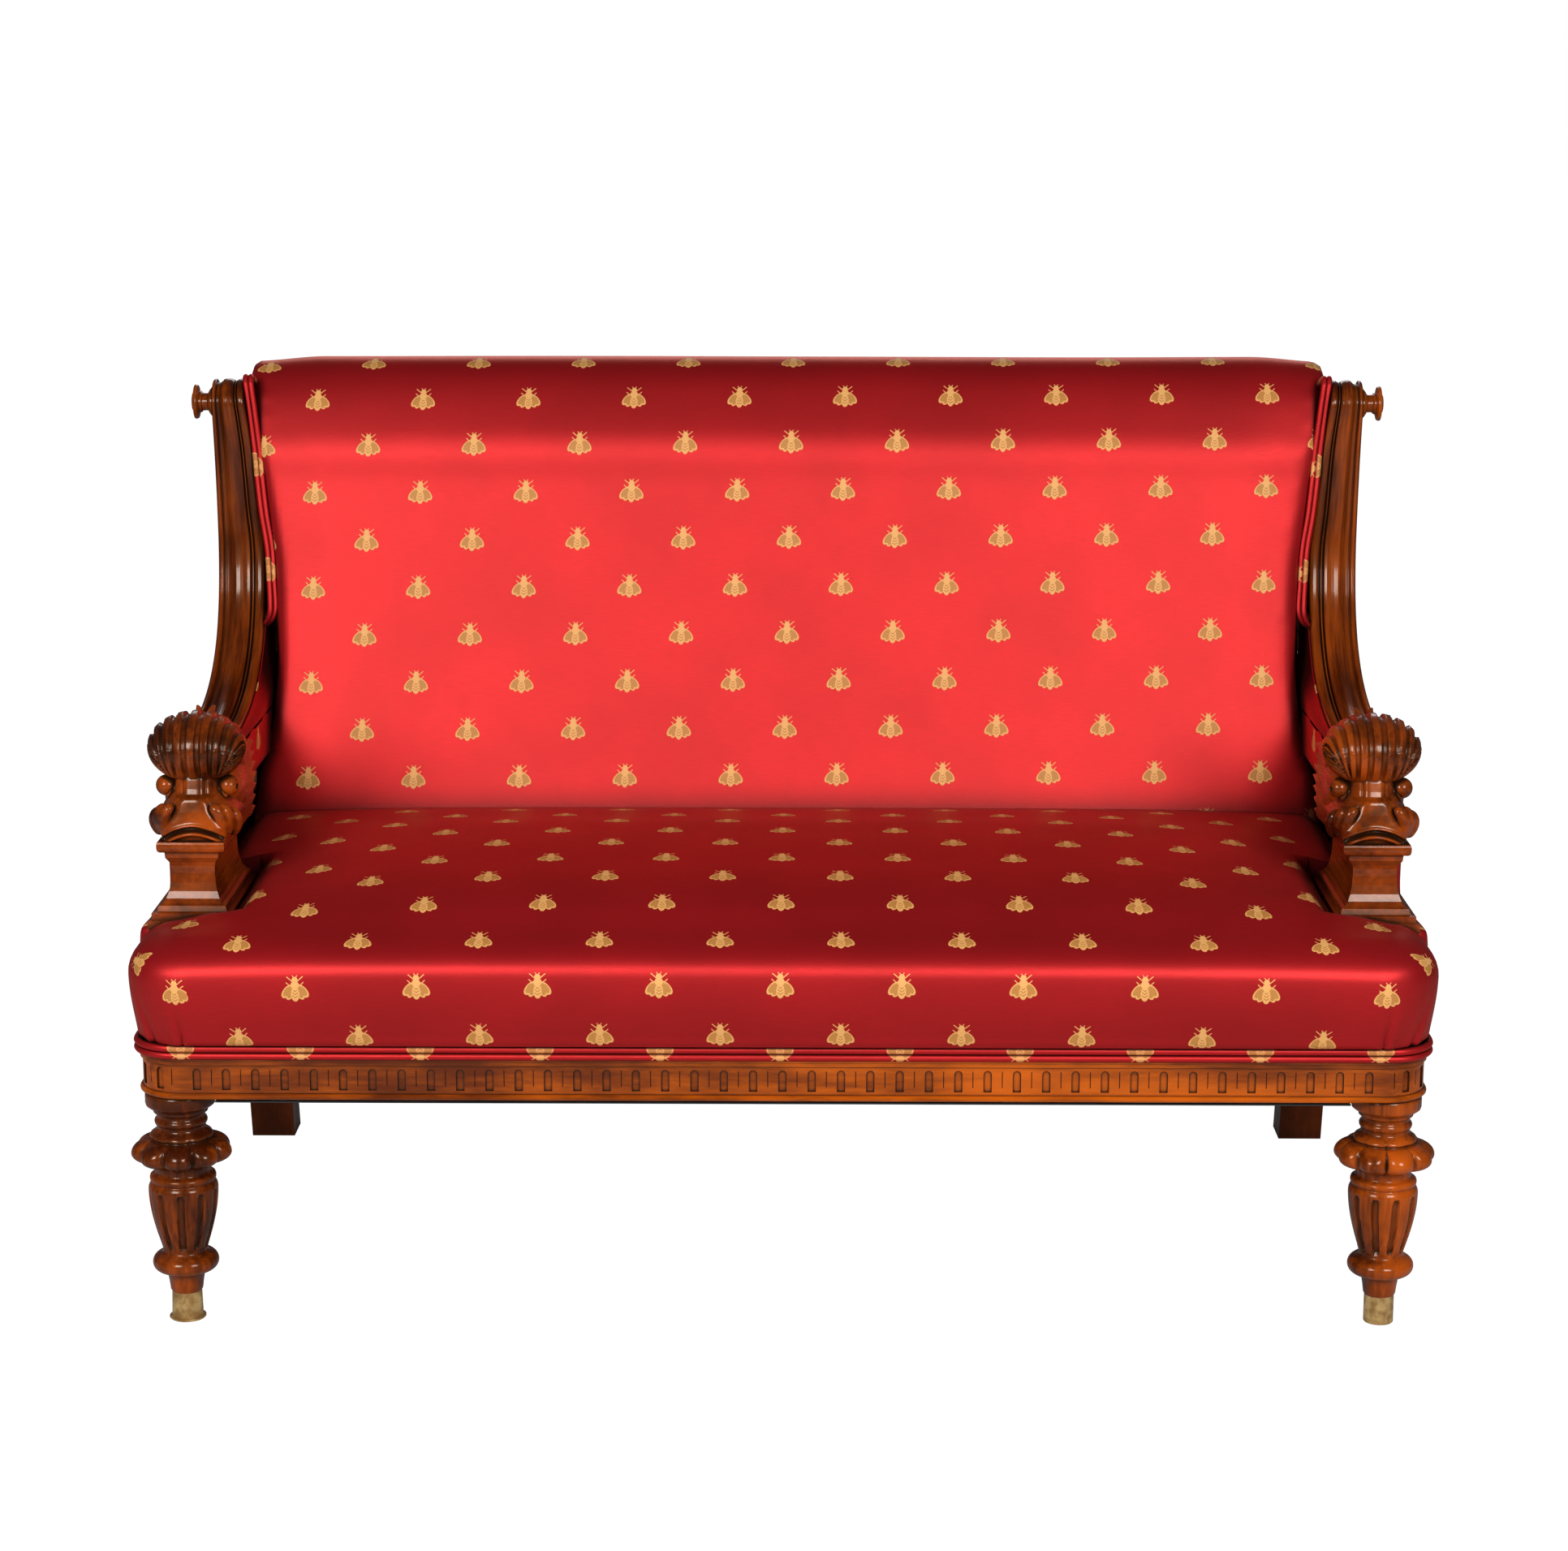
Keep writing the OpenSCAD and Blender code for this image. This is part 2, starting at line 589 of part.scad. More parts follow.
module dolphin_head(side) {
    color(walnut_dark) on_side(side) difference() {
        union() {
            skin([for (row = crest_rows) crest_ring(row)]);
            translate([plinth_x, 0, 0]) {
                skin([for (i = [face_steps:-1:0]) face_ring(face_top * i / face_steps)]);
                for (s = [-1, 1]) {
                    translate([s * eye_at.x, head_front + eye_at.y, cap_z + eye_at.z])
                        sphere(r = eye_r, $fn = 32);
                    curl(lip_route, lip_radii, s);
                    curl(cheek_route, cheek_radii, s);
                    mirror([s > 0 ? 0 : 1, 0, 0]) translate([mane_x, head_back - 60, 0])
                        rotate([0, 0, -mane_splay]) translate([0, 60 - head_back, 0]) mane_leaf();
                }
            }
        }
        // The pupils are drilled, looking out to the sides.
        for (s = [-1, 1])
            translate([plinth_x + s * eye_at.x, head_front + eye_at.y, cap_z + eye_at.z])
                rotate([0, 0, s > 0 ? -28 : 208]) rotate([0, 90, 0]) translate([0, 0, eye_r - 3])
                    cylinder(h = 6, r = 2.2, $fn = 24);
        box(plinth_x - head_w, plinth_x + head_w, head_front - 20, head_back + 20, cap_z - 30, cap_z);
    }
}

// Back frame
top_rail_z0 = 850;
top_rail_z1 = scroll_z - 15;
lower_rail_z0 = 500;
lower_rail_z1 = lower_rail_z0 + 50;
lower_rail_t = 30;
stay_w = 46;
stay_t = 24;
stay_in = 3;                                 // the stay stands behind the plane of the rails
// The rails and the stay of the back share one leaning front plane.
function back_plane(z) = let (y0 = stile_front(lower_rail_z0) + 6, y1 = stile_front(top_rail_z0))
    y0 + (y1 - y0) * (z - lower_rail_z0) / (top_rail_z0 - lower_rail_z0);

module back_top_rail() {
    rear = stile_front(top_rail_z1) + stile_t;
    color(beech) along_x(-rear_leg_in, rear_leg_in)
        polygon([[back_plane(top_rail_z0), top_rail_z0], [rear, top_rail_z0], [rear, top_rail_z1],
                 [back_plane(top_rail_z1), top_rail_z1]]);
}

module back_lower_rail() {
    color(beech) along_x(-rear_leg_in, rear_leg_in)
        polygon([[back_plane(lower_rail_z0), lower_rail_z0],
                 [back_plane(lower_rail_z0) + lower_rail_t, lower_rail_z0],
                 [back_plane(lower_rail_z1) + lower_rail_t, lower_rail_z1],
                 [back_plane(lower_rail_z1), lower_rail_z1]]);
}

module back_centre_stile() {
    color(beech) along_x(-stay_w / 2, stay_w / 2)
        polygon([[back_plane(lower_rail_z1) + stay_in, lower_rail_z1],
                 [back_plane(lower_rail_z1) + stay_in + stay_t, lower_rail_z1],
                 [back_plane(top_rail_z0) + stay_in + stay_t, top_rail_z0],
                 [back_plane(top_rail_z0) + stay_in, top_rail_z0]]);
}

// Inside the seat
web_x0 = half_w - rail_t + 20;
module seat_webbing() {
    n_front = 9;
    n_side = 5;
    x_pitch = (2 * block_x - 40) / n_front;
    y_pitch = (rear_y - block_y) / n_side;
    color(jute) {
        for (i = [0:n_front - 1])
            translate([(i - (n_front - 1) / 2) * x_pitch - web_w / 2, front_y + 12, rail_z - 2 * web_t])
                cube([web_w, rear_y + 30 - front_y - 12, web_t]);
        for (j = [0:n_side - 1])
            translate([-web_x0, block_y + (j + 0.5) * y_pitch - web_w / 2, rail_z - web_t])
                cube([2 * web_x0, web_w, web_t]);
    }
}

dust_t = 1.5;
module dust_cover() {
    z = rail_z - 2 * web_t - dust_t;
    color(black_cloth) difference() {
        box(-half_w + 14, half_w - 14, front_y + 8, rear_y + 34, z, z + dust_t);
        for (side = ["left", "right"]) on_side(side) {
            box(leg_x - block / 2, leg_x + block / 2, front_y, block_y, z - 1, z + 4);
            box(rear_leg_in - 1, rear_leg_out + 1, rear_y - 1, rear_y + 60, z - 1, z + 4);
        }
    }
}

// Waisted coil springs standing on the webbing.
spring_wire = 1.9;
spring_rows = 3;
spring_steps = 8;
spring_r = 40;
spring_waist = 16;                           // how far the middle curls draw in
spring_margin = 30;
function spring_route() = [for (i = [0:spring_curls * spring_steps]) let (
    t = i / (spring_curls * spring_steps),
    r = spring_r - spring_waist * sin(180 * t))
    [r * cos(360 * i / spring_steps), r * sin(360 * i / spring_steps),
     rail_z + spring_wire + fit + t * (hessian_z - rail_z - 2 * spring_wire - 2 * fit)]];
module seat_springs() {
    x_pitch = 2 * (block_x - spring_margin) / springs_x;
    y_pitch = (cavity_back - cavity_front) / spring_rows;
    color(steel) for (i = [0:springs_x - 1]) for (j = [0:spring_rows - 1])
        translate([(i - (springs_x - 1) / 2) * x_pitch, cavity_front + (j + 0.5) * y_pitch, 0])
            tube(spring_route(), spring_wire, 4);
}

hessian_t = 1.5;
module seat_hessian() {
    color(jute) box(-cavity_half + 1, cavity_half - 1, cavity_front + 1, cavity_back - 1,
        hessian_z, hessian_z + hessian_t);
}

// Seat
// Front to back: height of the crown, underside, half-width, as the stuffing is dressed.
seat_front = front_y - seat_bulge;
ear_back = base_front - 1;
ear_half = half_w + side_bulge;
mid_half = min(plinth_x - base_half, stump_out - stump_w) - fit;
rear_half = half_w - rail_t - 20;
seat_stations = [
    // distance behind the seat's front, crown below seat_z, underside above pad_z, half-width
    [0, -139, 12, ear_half - 74], [2, -110, 5, ear_half - 52], [7, -89, 1, ear_half - 34],
    [17, -73, 0, ear_half - 19], [30, -60, 0, ear_half - 9], [48, -48, 0, ear_half - 3],
    [67, -38.5, 0, ear_half], [cavity_front - 1 - seat_front, -36, 0, ear_half],
    [cavity_front - seat_front, -35.6, 0, ear_half], [95, -26.5, 0, ear_half],
    [ear_back - seat_front, -20.5, 0, ear_half - 1]
];
seat_mid = [
    [base_front - seat_front, -20.3, mid_half], [168, -9, mid_half], [235, -2.5, mid_half],
    [290, 0, mid_half], [base_back - seat_front, -0.3, mid_half]
];
seat_rear = [
    [base_back + 1 - seat_front, -0.4, rear_half], [364, -1.5, rear_half], [420, -6, rear_half],
    [480, -13, rear_half], [520, -18, rear_half], [seat_back_y - 8 - seat_front, -22, rear_half]
];

// The rim of the seat stands level all along the front, and the crown rises from it.
rim_below = 54;                              // front rim below seat_z
function rim_fall(crown) = max(0, rim_below + crown) * 0.75;

seat_top_n = 9;
seat_side_n = 5;
// Ring across the settee at one station: up one side, over the crown and down, then the hollow below.
function seat_ring(y, top, low, half, bulge, hollow, fall) = let (
    side_h = top - low,
    shoulder = min(46, side_h * 0.62),
    ledge = min(half - 20, cavity_half),
    roof = hollow ? hessian_z + hessian_t + fit : low + 2)
    concat(
        [for (i = [0:seat_side_n - 1]) let (t = i / seat_side_n)
            [half - bulge * pow(abs(2 * t - 1.4), 2), y, low + (side_h - shoulder - fall) * t]],
        [for (i = [0:seat_side_n - 1]) let (a = 90 * i / seat_side_n)
            [half - shoulder + shoulder * cos(a), y, top - shoulder - fall + shoulder * sin(a)]],
        [for (i = [0:2 * seat_top_n]) let (u = 1 - i / seat_top_n, x = u * (half - shoulder))
            [x, y, top - fall * pow(u, 4)]],
        [for (i = [seat_side_n - 1:-1:0]) let (a = 90 * i / seat_side_n)
            [-half + shoulder - shoulder * cos(a), y, top - shoulder - fall + shoulder * sin(a)]],
        [for (i = [seat_side_n - 1:-1:0]) let (t = i / seat_side_n)
            [-half + bulge * pow(abs(2 * t - 1.4), 2), y, low + (side_h - shoulder - fall) * t]],
        [[-ledge, y, low], [-ledge * (hollow ? 1 : 0.5), y, roof], [ledge * (hollow ? 1 : 0.5), y, roof],
         [ledge, y, low]]);

module seat_pad() {
    over_rail = cavity_front - seat_front;
    color(satin) skin(concat(
        [for (s = seat_stations) if (s[0] < over_rail)
            seat_ring(seat_front + s[0], seat_z + s[1], pad_z + s[2], s[3], 8, false, rim_fall(s[1]))],
        [for (s = seat_stations) if (s[0] >= over_rail)
            seat_ring(seat_front + s[0], seat_z + s[1], pad_z + s[2], s[3], 8, true, rim_fall(s[1]))],
        [for (s = seat_mid)
            seat_ring(seat_front + s[0], seat_z + s[1], pad_z, s[2], 1, true, 20)],
        [for (s = seat_rear)
            seat_ring(seat_front + s[0], seat_z + s[1], pad_z, s[2], 1, true, 26)],
        [seat_ring(seat_back_y, seat_z - 26, pad_z, rear_half - 4, 1, false, 24)]));
}

// Upholstered outer side, from the rail up to the plinth and the arm.
side_in = half_w - rail_t + 2;
function side_outline(inset) = let (
    back = rear_y - 4 - inset,
    low = pad_z + inset,
    front = ear_back + fit + 1 + inset,
    step_y = base_back + fit + inset,
    step_z = plinth_z - fit - inset,
    under = arm_z - arm_t / 2 - 3 - inset)
    [[front, low], [back, low], [back, under + 16], [back - 50, under + 4], [back - 130, under - 4],
     [step_y, under], [step_y, step_z], [front, step_z]];

module side_pad(side) {
    layers = [[0, 0], [26, 0], [34, 3], [half_w + side_bulge - 2 - side_in, 12]];
    color(satin) on_side(side) skin([for (row = layers)
        [for (p = side_outline(row[1])) [side_in + row[0], p[0], p[1]]]]);
}

// Upholstered inner side under the arm, behind the plinth.
module inside_arm(side) {
    z0 = seat_z - 40;
    z1 = arm_z - arm_t / 2 - 4;
    color(satin) on_side(side) along_y(base_back + 2, rear_y - 60)
        polygon([[side_in - fit, z0 + 20], [side_in - fit, z1], [side_in - 14, z1], [side_in - 19, z1 - 6],
                 [side_in - 20, z0 + 44], [side_in - 18, z0 + 20]]);
}

// Double piping along the show-wood rail, round the corners and back to the rear legs.
module seat_welt() {
    run_y = rear_y - 10;
    bend = corner_r - welt_r;
    color(satin) for (level = [0, welt_step]) translate([0, 0, welt_z + level]) {
        translate([-half_w + corner_r, front_y + welt_r, 0]) rotate([0, 90, 0])
            cylinder(h = 2 * (half_w - corner_r), r = welt_r, $fn = 20);
        for (s = [-1, 1]) {
            translate([s * (half_w - welt_r), front_y + corner_r, 0]) rotate([-90, 0, 0])
                cylinder(h = run_y - front_y - corner_r, r = welt_r, $fn = 20);
            translate([s * (half_w - corner_r), front_y + corner_r, 0]) rotate([0, 0, s > 0 ? -90 : 180])
                rotate_extrude(angle = 90, $fn = 48) translate([bend, 0]) circle(r = welt_r, $fn = 20);
        }
    }
}

// Back
// Side view of the stuffed back: front face, rolled top, tuck behind the top rail.
back_half = min(arm_in - 2 * welt_r - 1, rear_leg_in - 2 * fit);
roll_y = 334;
roll_r = 46;
back_tail_y = stile_front(top_rail_z1) + stile_t + fit;
function back_front(z) = 176 + 0.214 * (z - 420) + 9 * sin(180 * (z - 420) / 560);
back_skirt_z = rail_top + 30;                // the lining runs down behind the seat
back_skirt_t = 18;
back_skirt_y = seat_back_y + fit + 1;
function back_loop(inset, drop) = concat(
    [[back_skirt_y + back_skirt_t, back_skirt_z], [back_skirt_y + inset / 3, back_skirt_z],
     [back_skirt_y + inset / 3, 440]],
    [for (z = [470:43:900]) [back_front(z) + inset, z]],
    [for (a = [170:-20:-10]) [roll_y + (roll_r - inset) * cos(a) * (a > 90 ? 1 : 1.08),
        back_z - roll_r + (roll_r - inset) * sin(a) - drop]],
    [[back_tail_y + 4, top_rail_z1 - 5], [back_tail_y, top_rail_z1 - 5], [back_tail_y, top_rail_z1 + fit],
     [back_plane(top_rail_z1) - web_t - fit, top_rail_z1 + fit],
     [back_plane(lower_rail_z0 - 20) - web_t - fit, lower_rail_z0 - 20],
     [back_skirt_y + back_skirt_t, lower_rail_z0 - 40]]);

module back_pad() {
    xs = [[-1, 12, 4], [-0.985, 5, 2], [-0.95, 1, 0.5], [-0.8, 0, 0], [-0.5, -2, -1], [0, -3, 0],
          [0.5, -2, -1], [0.8, 0, 0], [0.95, 1, 0.5], [0.985, 5, 2], [1, 12, 4]];
    color(satin) skin([for (row = xs)
        [for (p = back_loop(row[1], row[2])) [row[0] * back_half, p[0], p[1]]]]);
}

module back_webbing() {
    n_up = 7;
    z0 = lower_rail_z0 + 20;
    z1 = top_rail_z0 + 30;
    pitch = 2 * (rear_leg_in - 40) / n_up;
    color(jute) for (i = [0:n_up - 1]) if (i != (n_up - 1) / 2)
        along_x((i - (n_up - 1) / 2) * pitch - web_w / 2, (i - (n_up - 1) / 2) * pitch + web_w / 2)
            polygon([[back_plane(z0) - web_t, z0], [back_plane(z0), z0],
                     [back_plane(z1), z1], [back_plane(z1) - web_t, z1]]);
}

// Cloth drawn over the outside of the back, from the seat rail to the top rail.
outback_t = 3;
module outside_back() {
    zs = concat([rail_z + 8], stile_zs, [top_rail_z1 - 8]);
    function rear(z) = stile_front(z) + foot_back(z) + lookup(z, stile_thick_rows);
    color(satin) along_x(-rear_leg_out + 2, rear_leg_out - 2) polygon(concat(
        [for (z = zs) [rear(z), z]],
        [for (i = [len(zs) - 1:-1:0]) [rear(zs[i]) + outback_t, zs[i]]]));
}

// Piping down each side of the back, between the stuffing and the post.
module back_welt(side) {
    x = arm_in - welt_r - fit;
    zs = [for (z = [480:50:900]) z];
    route = concat([for (z = zs) [x, back_front(z) + 22, z]],
        [for (a = [165:-25:15])
            [x, roll_y + (roll_r - 12) * cos(a), back_z - roll_r + (roll_r - 10) * sin(a)]]);
    color(satin) on_side(side) tube(route, welt_r, 6);
}

front_rail();
side_rail("left");  // side_rail_left
side_rail("right");  // side_rail_right
rear_rail();
corner_block("left");  // corner_block_left
corner_block("right");  // corner_block_right
corner_braces();
brace_screws();
front_leg("left", 0);  // front_leg_left
front_leg("right", 18);  // front_leg_right
leg_socket("left", 3.7);  // leg_socket_left
leg_socket("right", 0);  // leg_socket_right
rear_leg("left");  // rear_leg_left
rear_leg("right");  // rear_leg_right
plinth("left");  // plinth_left
plinth("right");  // plinth_right
dolphin_head("left");  // dolphin_head_left
dolphin_head("right");  // dolphin_head_right
arm("left");  // arm_left
arm("right");  // arm_right
scroll_boss("left");  // scroll_boss_left
scroll_boss("right");  // scroll_boss_right
back_top_rail();
back_lower_rail();
back_centre_stile();
seat_webbing();
dust_cover();
seat_springs();
seat_hessian();
seat_pad();
side_pad("left");  // side_pad_left
side_pad("right");  // side_pad_right
inside_arm("left");  // inside_arm_left
inside_arm("right");  // inside_arm_right
seat_welt();
back_webbing();
back_pad();
outside_back();
back_welt("left");  // back_welt_left
back_welt("right");  // back_welt_right
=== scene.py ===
# %% [markdown]
# # A scroll-back settee in walnut and crimson satin
# The CAD model gives the frame of the settee: rails, legs, stiles and the room that each soft
# part fills. This lesson dresses it. Wood gets its grain and polish, and the soft parts, the
# carved heads and the moulded arms are modelled again, finely, in the places that the CAD holds.

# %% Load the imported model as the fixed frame
import math

import bmesh
import bpy
from mathutils import Matrix, Vector, noise


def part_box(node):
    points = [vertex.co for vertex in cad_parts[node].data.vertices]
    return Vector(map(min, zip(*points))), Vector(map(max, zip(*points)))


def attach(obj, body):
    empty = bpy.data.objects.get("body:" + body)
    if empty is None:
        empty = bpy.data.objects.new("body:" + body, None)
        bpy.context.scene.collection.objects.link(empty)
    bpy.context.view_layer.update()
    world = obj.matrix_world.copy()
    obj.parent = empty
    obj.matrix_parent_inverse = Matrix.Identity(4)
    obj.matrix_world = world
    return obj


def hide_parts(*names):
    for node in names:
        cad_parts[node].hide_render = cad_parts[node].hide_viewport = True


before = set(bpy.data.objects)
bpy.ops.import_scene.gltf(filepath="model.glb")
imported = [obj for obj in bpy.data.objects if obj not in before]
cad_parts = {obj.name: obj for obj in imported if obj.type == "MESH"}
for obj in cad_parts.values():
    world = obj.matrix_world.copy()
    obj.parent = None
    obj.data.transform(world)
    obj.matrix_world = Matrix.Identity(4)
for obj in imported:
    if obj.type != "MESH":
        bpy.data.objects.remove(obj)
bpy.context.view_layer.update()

# %% [markdown]
# ## Camera
# The photograph was taken from a little right of the middle, at about chest height, with a long
# lens. The lens, the place and the tilt were worked out from points whose real places are known,
# such as the feet, the bosses and the caps of the plinths.

# %% Camera at the photograph's place
LENS_MM = 80.4
CAMERA_AT = Vector((0.026, -3.963, 1.389))
CAMERA_PITCH = math.radians(12.01)
CAMERA_YAW = math.radians(0.39)
CAMERA_ROLL = math.radians(0.06)

camera_data = bpy.data.cameras.new("camera")
camera_data.sensor_width = 36.0
camera_data.lens = LENS_MM
camera = bpy.data.objects.new("camera", camera_data)
camera.matrix_world = (
    Matrix.Translation(CAMERA_AT)
    @ Matrix.Rotation(CAMERA_YAW, 4, "Z")
    @ Matrix.Rotation(math.pi / 2 - CAMERA_PITCH, 4, "X")
    @ Matrix.Rotation(CAMERA_ROLL, 4, "Z")
)
bpy.context.scene.collection.objects.link(camera)
bpy.context.scene.camera = camera
print("camera", [round(v, 2) for v in camera.location], "lens", LENS_MM)

# %% [markdown]
# ## Floor, world and lamps
# The floor is a plain pale sheet. The camera sees the floor and the world as white through Light
# Path, so the white background adds no light of its own. Two square soft lamps stand in front, to
# the left and the right of the camera and a little above it. They draw the bright band along the
# front of the seat, put two highlights on each turned leg, and leave the back's rolled top dark.
# A weak lamp behind lights the outside of the back.

# %% Helpers for nodes
def fill(tree, node, inputs):
    """Fills inputs, by name or number: a socket is linked, and anything else is a plain value."""
    for name, value in inputs.items():
        if isinstance(value, bpy.types.NodeSocket):
            tree.links.new(value, node.inputs[name])
        else:
            node.inputs[name].default_value = value
    return node


def new_material(name):
    """A material with nodes: gives the material, its tree and its Principled BSDF."""
    material = bpy.data.materials.new(name)
    material.use_nodes = True
    return material, material.node_tree, material.node_tree.nodes["Principled BSDF"]


def add_node(tree, kind, **values):
    """Makes a node, sets its properties, and fills the inputs that are named in the call."""
    node = tree.nodes.new(kind)
    inputs = values.pop("inputs", {})
    for name, value in values.items():
        setattr(node, name, value)
    return fill(tree, node, inputs)


def maths(tree, operation, a, b=None, c=None, clamp=False):
    """One Math node, from sockets or numbers."""
    inputs = {i: v for i, v in enumerate((a, b, c)) if v is not None}
    return add_node(tree, "ShaderNodeMath", operation=operation, use_clamp=clamp, inputs=inputs).outputs[0]


def blend_colours(tree, factor, a, b):
    """One colour Mix node, from sockets or colours of three numbers."""
    a, b = [c if isinstance(c, bpy.types.NodeSocket) else (*c, 1.0) for c in (a, b)]
    return add_node(tree, "ShaderNodeMix", data_type="RGBA", inputs={0: factor, 6: a, 7: b}).outputs[2]


def fade(tree, value, start, end, low=0.0, high=1.0):
    """A smooth step of a value, from low at start to high at end."""
    inputs = dict(enumerate((value, start, end, low, high)))
    return add_node(tree, "ShaderNodeMapRange", interpolation_type="SMOOTHSTEP", inputs=inputs).outputs[0]


# %% Floor that the camera sees as white
FLOOR_HALF = 30.0
FLOOR_COLOUR = (0.55, 0.55, 0.55, 1)
FLOOR_GLOW = 1.1
GLOW_SHARE = 0.95
seen_white, tree, _ = new_material("pale_floor")
tree.nodes.clear()
pale = add_node(tree, "ShaderNodeBsdfDiffuse", inputs={"Color": FLOOR_COLOUR})
white = add_node(tree, "ShaderNodeEmission", inputs={"Color": (1, 1, 1, 1), "Strength": FLOOR_GLOW})
seen = add_node(tree, "ShaderNodeLightPath")
keep_shadow = maths(tree, "MULTIPLY", seen.outputs["Is Camera Ray"], GLOW_SHARE)
mixed = add_node(tree, "ShaderNodeMixShader",
                 inputs={0: keep_shadow, 1: pale.outputs[0], 2: white.outputs[0]})
add_node(tree, "ShaderNodeOutputMaterial", inputs={"Surface": mixed.outputs[0]})

floor_mesh = bpy.data.meshes.new("floor")
bm = bmesh.new()
bmesh.ops.create_grid(bm, x_segments=1, y_segments=1, size=FLOOR_HALF)
bm.to_mesh(floor_mesh)
bm.free()
floor_mesh.materials.append(seen_white)
floor = bpy.data.objects.new("floor", floor_mesh)
bpy.context.scene.collection.objects.link(floor)

# %% World and lamps
WORLD_LIGHT = 0.07
world = bpy.data.worlds.new("studio")
world.use_nodes = True
bpy.context.scene.world = world
tree = world.node_tree
tree.nodes.clear()
seen = add_node(tree, "ShaderNodeLightPath")
direct = maths(tree, "MAXIMUM", seen.outputs["Is Camera Ray"], seen.outputs["Is Transmission Ray"])
soft = add_node(tree, "ShaderNodeBackground", inputs={"Color": (1, 1, 1, 1), "Strength": WORLD_LIGHT})
plain = add_node(tree, "ShaderNodeBackground", inputs={"Color": (1, 1, 1, 1), "Strength": 1.0})
mixed = add_node(tree, "ShaderNodeMixShader", inputs={0: direct, 1: soft.outputs[0], 2: plain.outputs[0]})
add_node(tree, "ShaderNodeOutputWorld", inputs={"Surface": mixed.outputs[0]})


def softbox(name, place, target, size, watts):
    """A soft area lamp at place, turned towards target."""
    lamp = bpy.data.lights.new(name, "AREA")
    lamp.shape = "RECTANGLE"
    lamp.size, lamp.size_y = size
    lamp.energy = watts
    holder = bpy.data.objects.new(name, lamp)
    towards = (Vector(target) - Vector(place)).to_track_quat("-Z", "Y")
    holder.matrix_world = Matrix.Translation(place) @ towards.to_matrix().to_4x4()
    bpy.context.scene.collection.objects.link(holder)


softbox("left_box", (-1.55, -2.75, 1.68), target=(-0.1, 0, 0.6), size=(1.0, 1.0), watts=65)
softbox("right_box", (1.45, -2.75, 1.68), target=(0.1, 0, 0.6), size=(1.0, 1.0), watts=60)
softbox("rear_box", (0.0, 3.6, 2.4), target=(0, 0, 0.6), size=(3.0, 1.2), watts=30)

# %% [markdown]
# ## Polished walnut
# The show wood is brown-red walnut under many coats of polish. One group makes the grain from
# stretched noise along the length of a piece. It gives a colour, a roughness and a height, and
# each wood takes it with its own colours. The recesses are darkened partly by dust and old
# polish, and partly by painted shade where real shade falls. An ambient occlusion mask finds them.
# Hands rub the edges of carved and turned pieces lighter, and there the mask is Pointiness. It
# needs small even faces, so the plain CAD pieces go without it.

# %% Group: wood grain along one axis
def make_group(name, inputs, outputs):
    """An empty shader group with named sockets; gives the group, its inputs and its output node."""
    group = bpy.data.node_groups.new(name, "ShaderNodeTree")
    for socket, kind, value in inputs:
        made = group.interface.new_socket(socket, in_out="INPUT", socket_type=kind)
        if value is not None:
            made.default_value = value
    for socket, kind in outputs:
        group.interface.new_socket(socket, in_out="OUTPUT", socket_type=kind)
    entry = group.nodes.new("NodeGroupInput")
    result = group.nodes.new("NodeGroupOutput")
    return group, entry, result


grain_group, entry, result = make_group(
    "wood_grain",
    [
        ("Vector", "NodeSocketVector", None),
        ("Stretch", "NodeSocketVector", (1.0, 1.0, 1.0)),
        ("Dark", "NodeSocketColor", (0.1, 0.03, 0.01, 1)),
        ("Light", "NodeSocketColor", (0.4, 0.15, 0.04, 1)),
    ],
    [("Colour", "NodeSocketColor"), ("Roughness", "NodeSocketFloat"), ("Height", "NodeSocketFloat")],
)
tree = grain_group
scaled = add_node(tree, "ShaderNodeVectorMath", operation="MULTIPLY",
                  inputs={0: entry.outputs["Vector"], 1: entry.outputs["Stretch"]})
bands = add_node(tree, "ShaderNodeTexNoise",
                 inputs={"Vector": scaled.outputs[0], "Scale": 14.0, "Detail": 5.0, "Distortion": 0.6})
pores = add_node(tree, "ShaderNodeTexNoise",
                 inputs={"Vector": scaled.outputs[0], "Scale": 150.0, "Detail": 3.0, "Roughness": 0.7})
clouds = add_node(tree, "ShaderNodeTexNoise",
                  inputs={"Vector": entry.outputs["Vector"], "Scale": 9.0, "Detail": 2.0})
tone = maths(tree, "MULTIPLY_ADD", bands.outputs[0], 1.0, maths(tree, "MULTIPLY", pores.outputs[0], 0.35))
tone = maths(tree, "MULTIPLY_ADD", clouds.outputs[0], 0.45, maths(tree, "SUBTRACT", tone, 0.42))
tone = fade(tree, tone, 0.3, 0.75)
pore_mask = fade(tree, pores.outputs[0], 0.6, 0.42)
fill(tree, result, {
    "Colour": blend_colours(tree, tone, entry.outputs["Dark"], entry.outputs["Light"]),
    "Roughness": maths(tree, "MULTIPLY_ADD", pore_mask, 0.08, 0.24),
    "Height": pores.outputs[0]})
print("group", grain_group.name)
